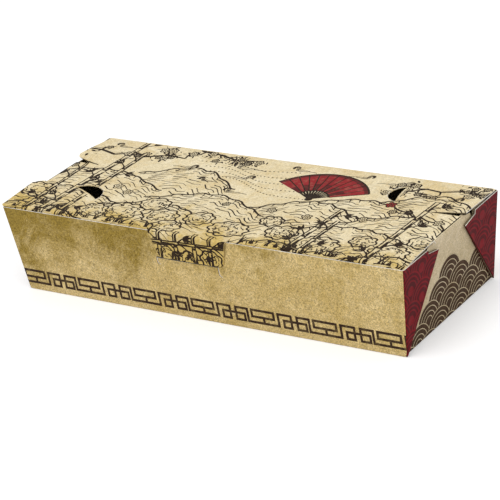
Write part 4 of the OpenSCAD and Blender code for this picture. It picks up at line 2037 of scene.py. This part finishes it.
@dataclass
class Studio:
    """A pale floor, soft light and the camera of the photograph."""

    floor_size: float = 6.0
    focal: float = 2211.0
    frame_width: float = 500.0
    distance: float = 0.953
    azimuth: float = 37.37
    elevation: float = 24.84
    roll: float = -8.63
    shift: Point = (-0.00034, 0.01471)
    floor_tone: float = 0.82
    floor_glow: float = 0.3
    sky: float = 0.72
    sensor: float = 36.0

    def floor(self) -> None:
        """Makes the floor, which is white to the camera but keeps the shadow."""
        half = self.floor_size / 2
        corners = [(-half, -half, 0), (half, -half, 0), (half, half, 0), (-half, half, 0)]
        mesh = bpy.data.meshes.new("floor")
        mesh.from_pydata(corners, [], [(0, 1, 2, 3)])
        floor = put_in_scene("floor", mesh)
        material = bpy.data.materials.new("pale floor")
        material.use_nodes = True
        material.node_tree.nodes.clear()
        w = Wiring(material.node_tree)
        rays = w.node("ShaderNodeLightPath").outputs
        seen = w.maths("MAXIMUM", rays["Is Camera Ray"], rays["Is Glossy Ray"])
        glow = w.maths("MULTIPLY", seen, self.floor_glow)
        tone = (self.floor_tone, self.floor_tone, self.floor_tone, 1)
        base = w.node("ShaderNodeBsdfPrincipled", {"Base Color": tone, "Roughness": 0.9})
        base.inputs["Specular IOR Level"].default_value = 0.0
        light = w.node("ShaderNodeEmission", {"Strength": glow})
        both = w.node("ShaderNodeAddShader", {0: base.outputs[0], 1: light.outputs[0]})
        w.node("ShaderNodeOutputMaterial", {"Surface": both.outputs[0]})
        mesh.materials.append(material)

    def world(self) -> None:
        """Makes the even light from all round."""
        world = bpy.data.worlds.new("soft studio")
        world.use_nodes = True
        background = world.node_tree.nodes["Background"]
        background.inputs["Color"].default_value = (1.0, 1.0, 1.0, 1)
        background.inputs["Strength"].default_value = self.sky
        bpy.context.scene.world = world

    def lamp(self, name: str, place: Vector, size: float, power: float) -> None:
        """Hangs a soft square lamp that looks at the box.

        Args:
            name: Name of the lamp.
            place: Where it hangs, in metres.
            size: Length of its sides.
            power: Power in watts.
        """
        data = bpy.data.lights.new(name, "AREA")
        data.size = size
        data.energy = power
        lamp = put_in_scene(name, data)
        lamp.location = place
        lamp.rotation_euler = (-place).to_track_quat("-Z", "Y").to_euler()

    def camera(self) -> None:
        """Sets the camera at the photograph's place."""
        a, e = math.radians(self.azimuth), math.radians(self.elevation)
        back = Vector((math.sin(a) * math.cos(e), -math.cos(a) * math.cos(e), math.sin(e)))
        right = Vector((math.cos(a), math.sin(a), 0))
        up = back.cross(right)
        place = back * self.distance + right * self.shift[0] + up * self.shift[1]
        c, s = math.cos(math.radians(self.roll)), math.sin(math.radians(self.roll))
        x_axis, y_axis = right * c + up * s, up * c - right * s
        data = bpy.data.cameras.new("camera")
        data.sensor_width = self.sensor
        data.lens = self.focal / self.frame_width * data.sensor_width
        data.clip_start = 0.01
        camera = put_in_scene("camera", data)
        turn = Matrix((x_axis, y_axis, back)).transposed()
        camera.matrix_world = Matrix.Translation(place) @ turn.to_4x4()
        bpy.context.scene.camera = camera

    def build(self) -> None:
        """Sets up the whole studio."""
        self.floor()
        self.world()
        self.lamp("key", Vector((-0.3, -1.0, 1.9)), size=1.6, power=17.0)
        self.lamp("fill", Vector((1.5, -0.7, 0.9)), size=1.2, power=5.0)
        self.camera()
        bpy.context.scene.view_settings.view_transform = "Standard"


def main() -> None:
    """Builds the box and its studio, and reports each piece."""
    logging.basicConfig(level=logging.INFO, format="%(name)s: %(message)s")
    finishes = Finishes()
    sizes = BoxSizes()
    Studio().build()
    pieces = Tray(sizes, finishes).build() + Lid(sizes, finishes).build()
    LOG.info("%d pieces, %d faces", len(pieces), sum(len(p.data.polygons) for p in pieces))


if __name__ == "__main__":
    main()
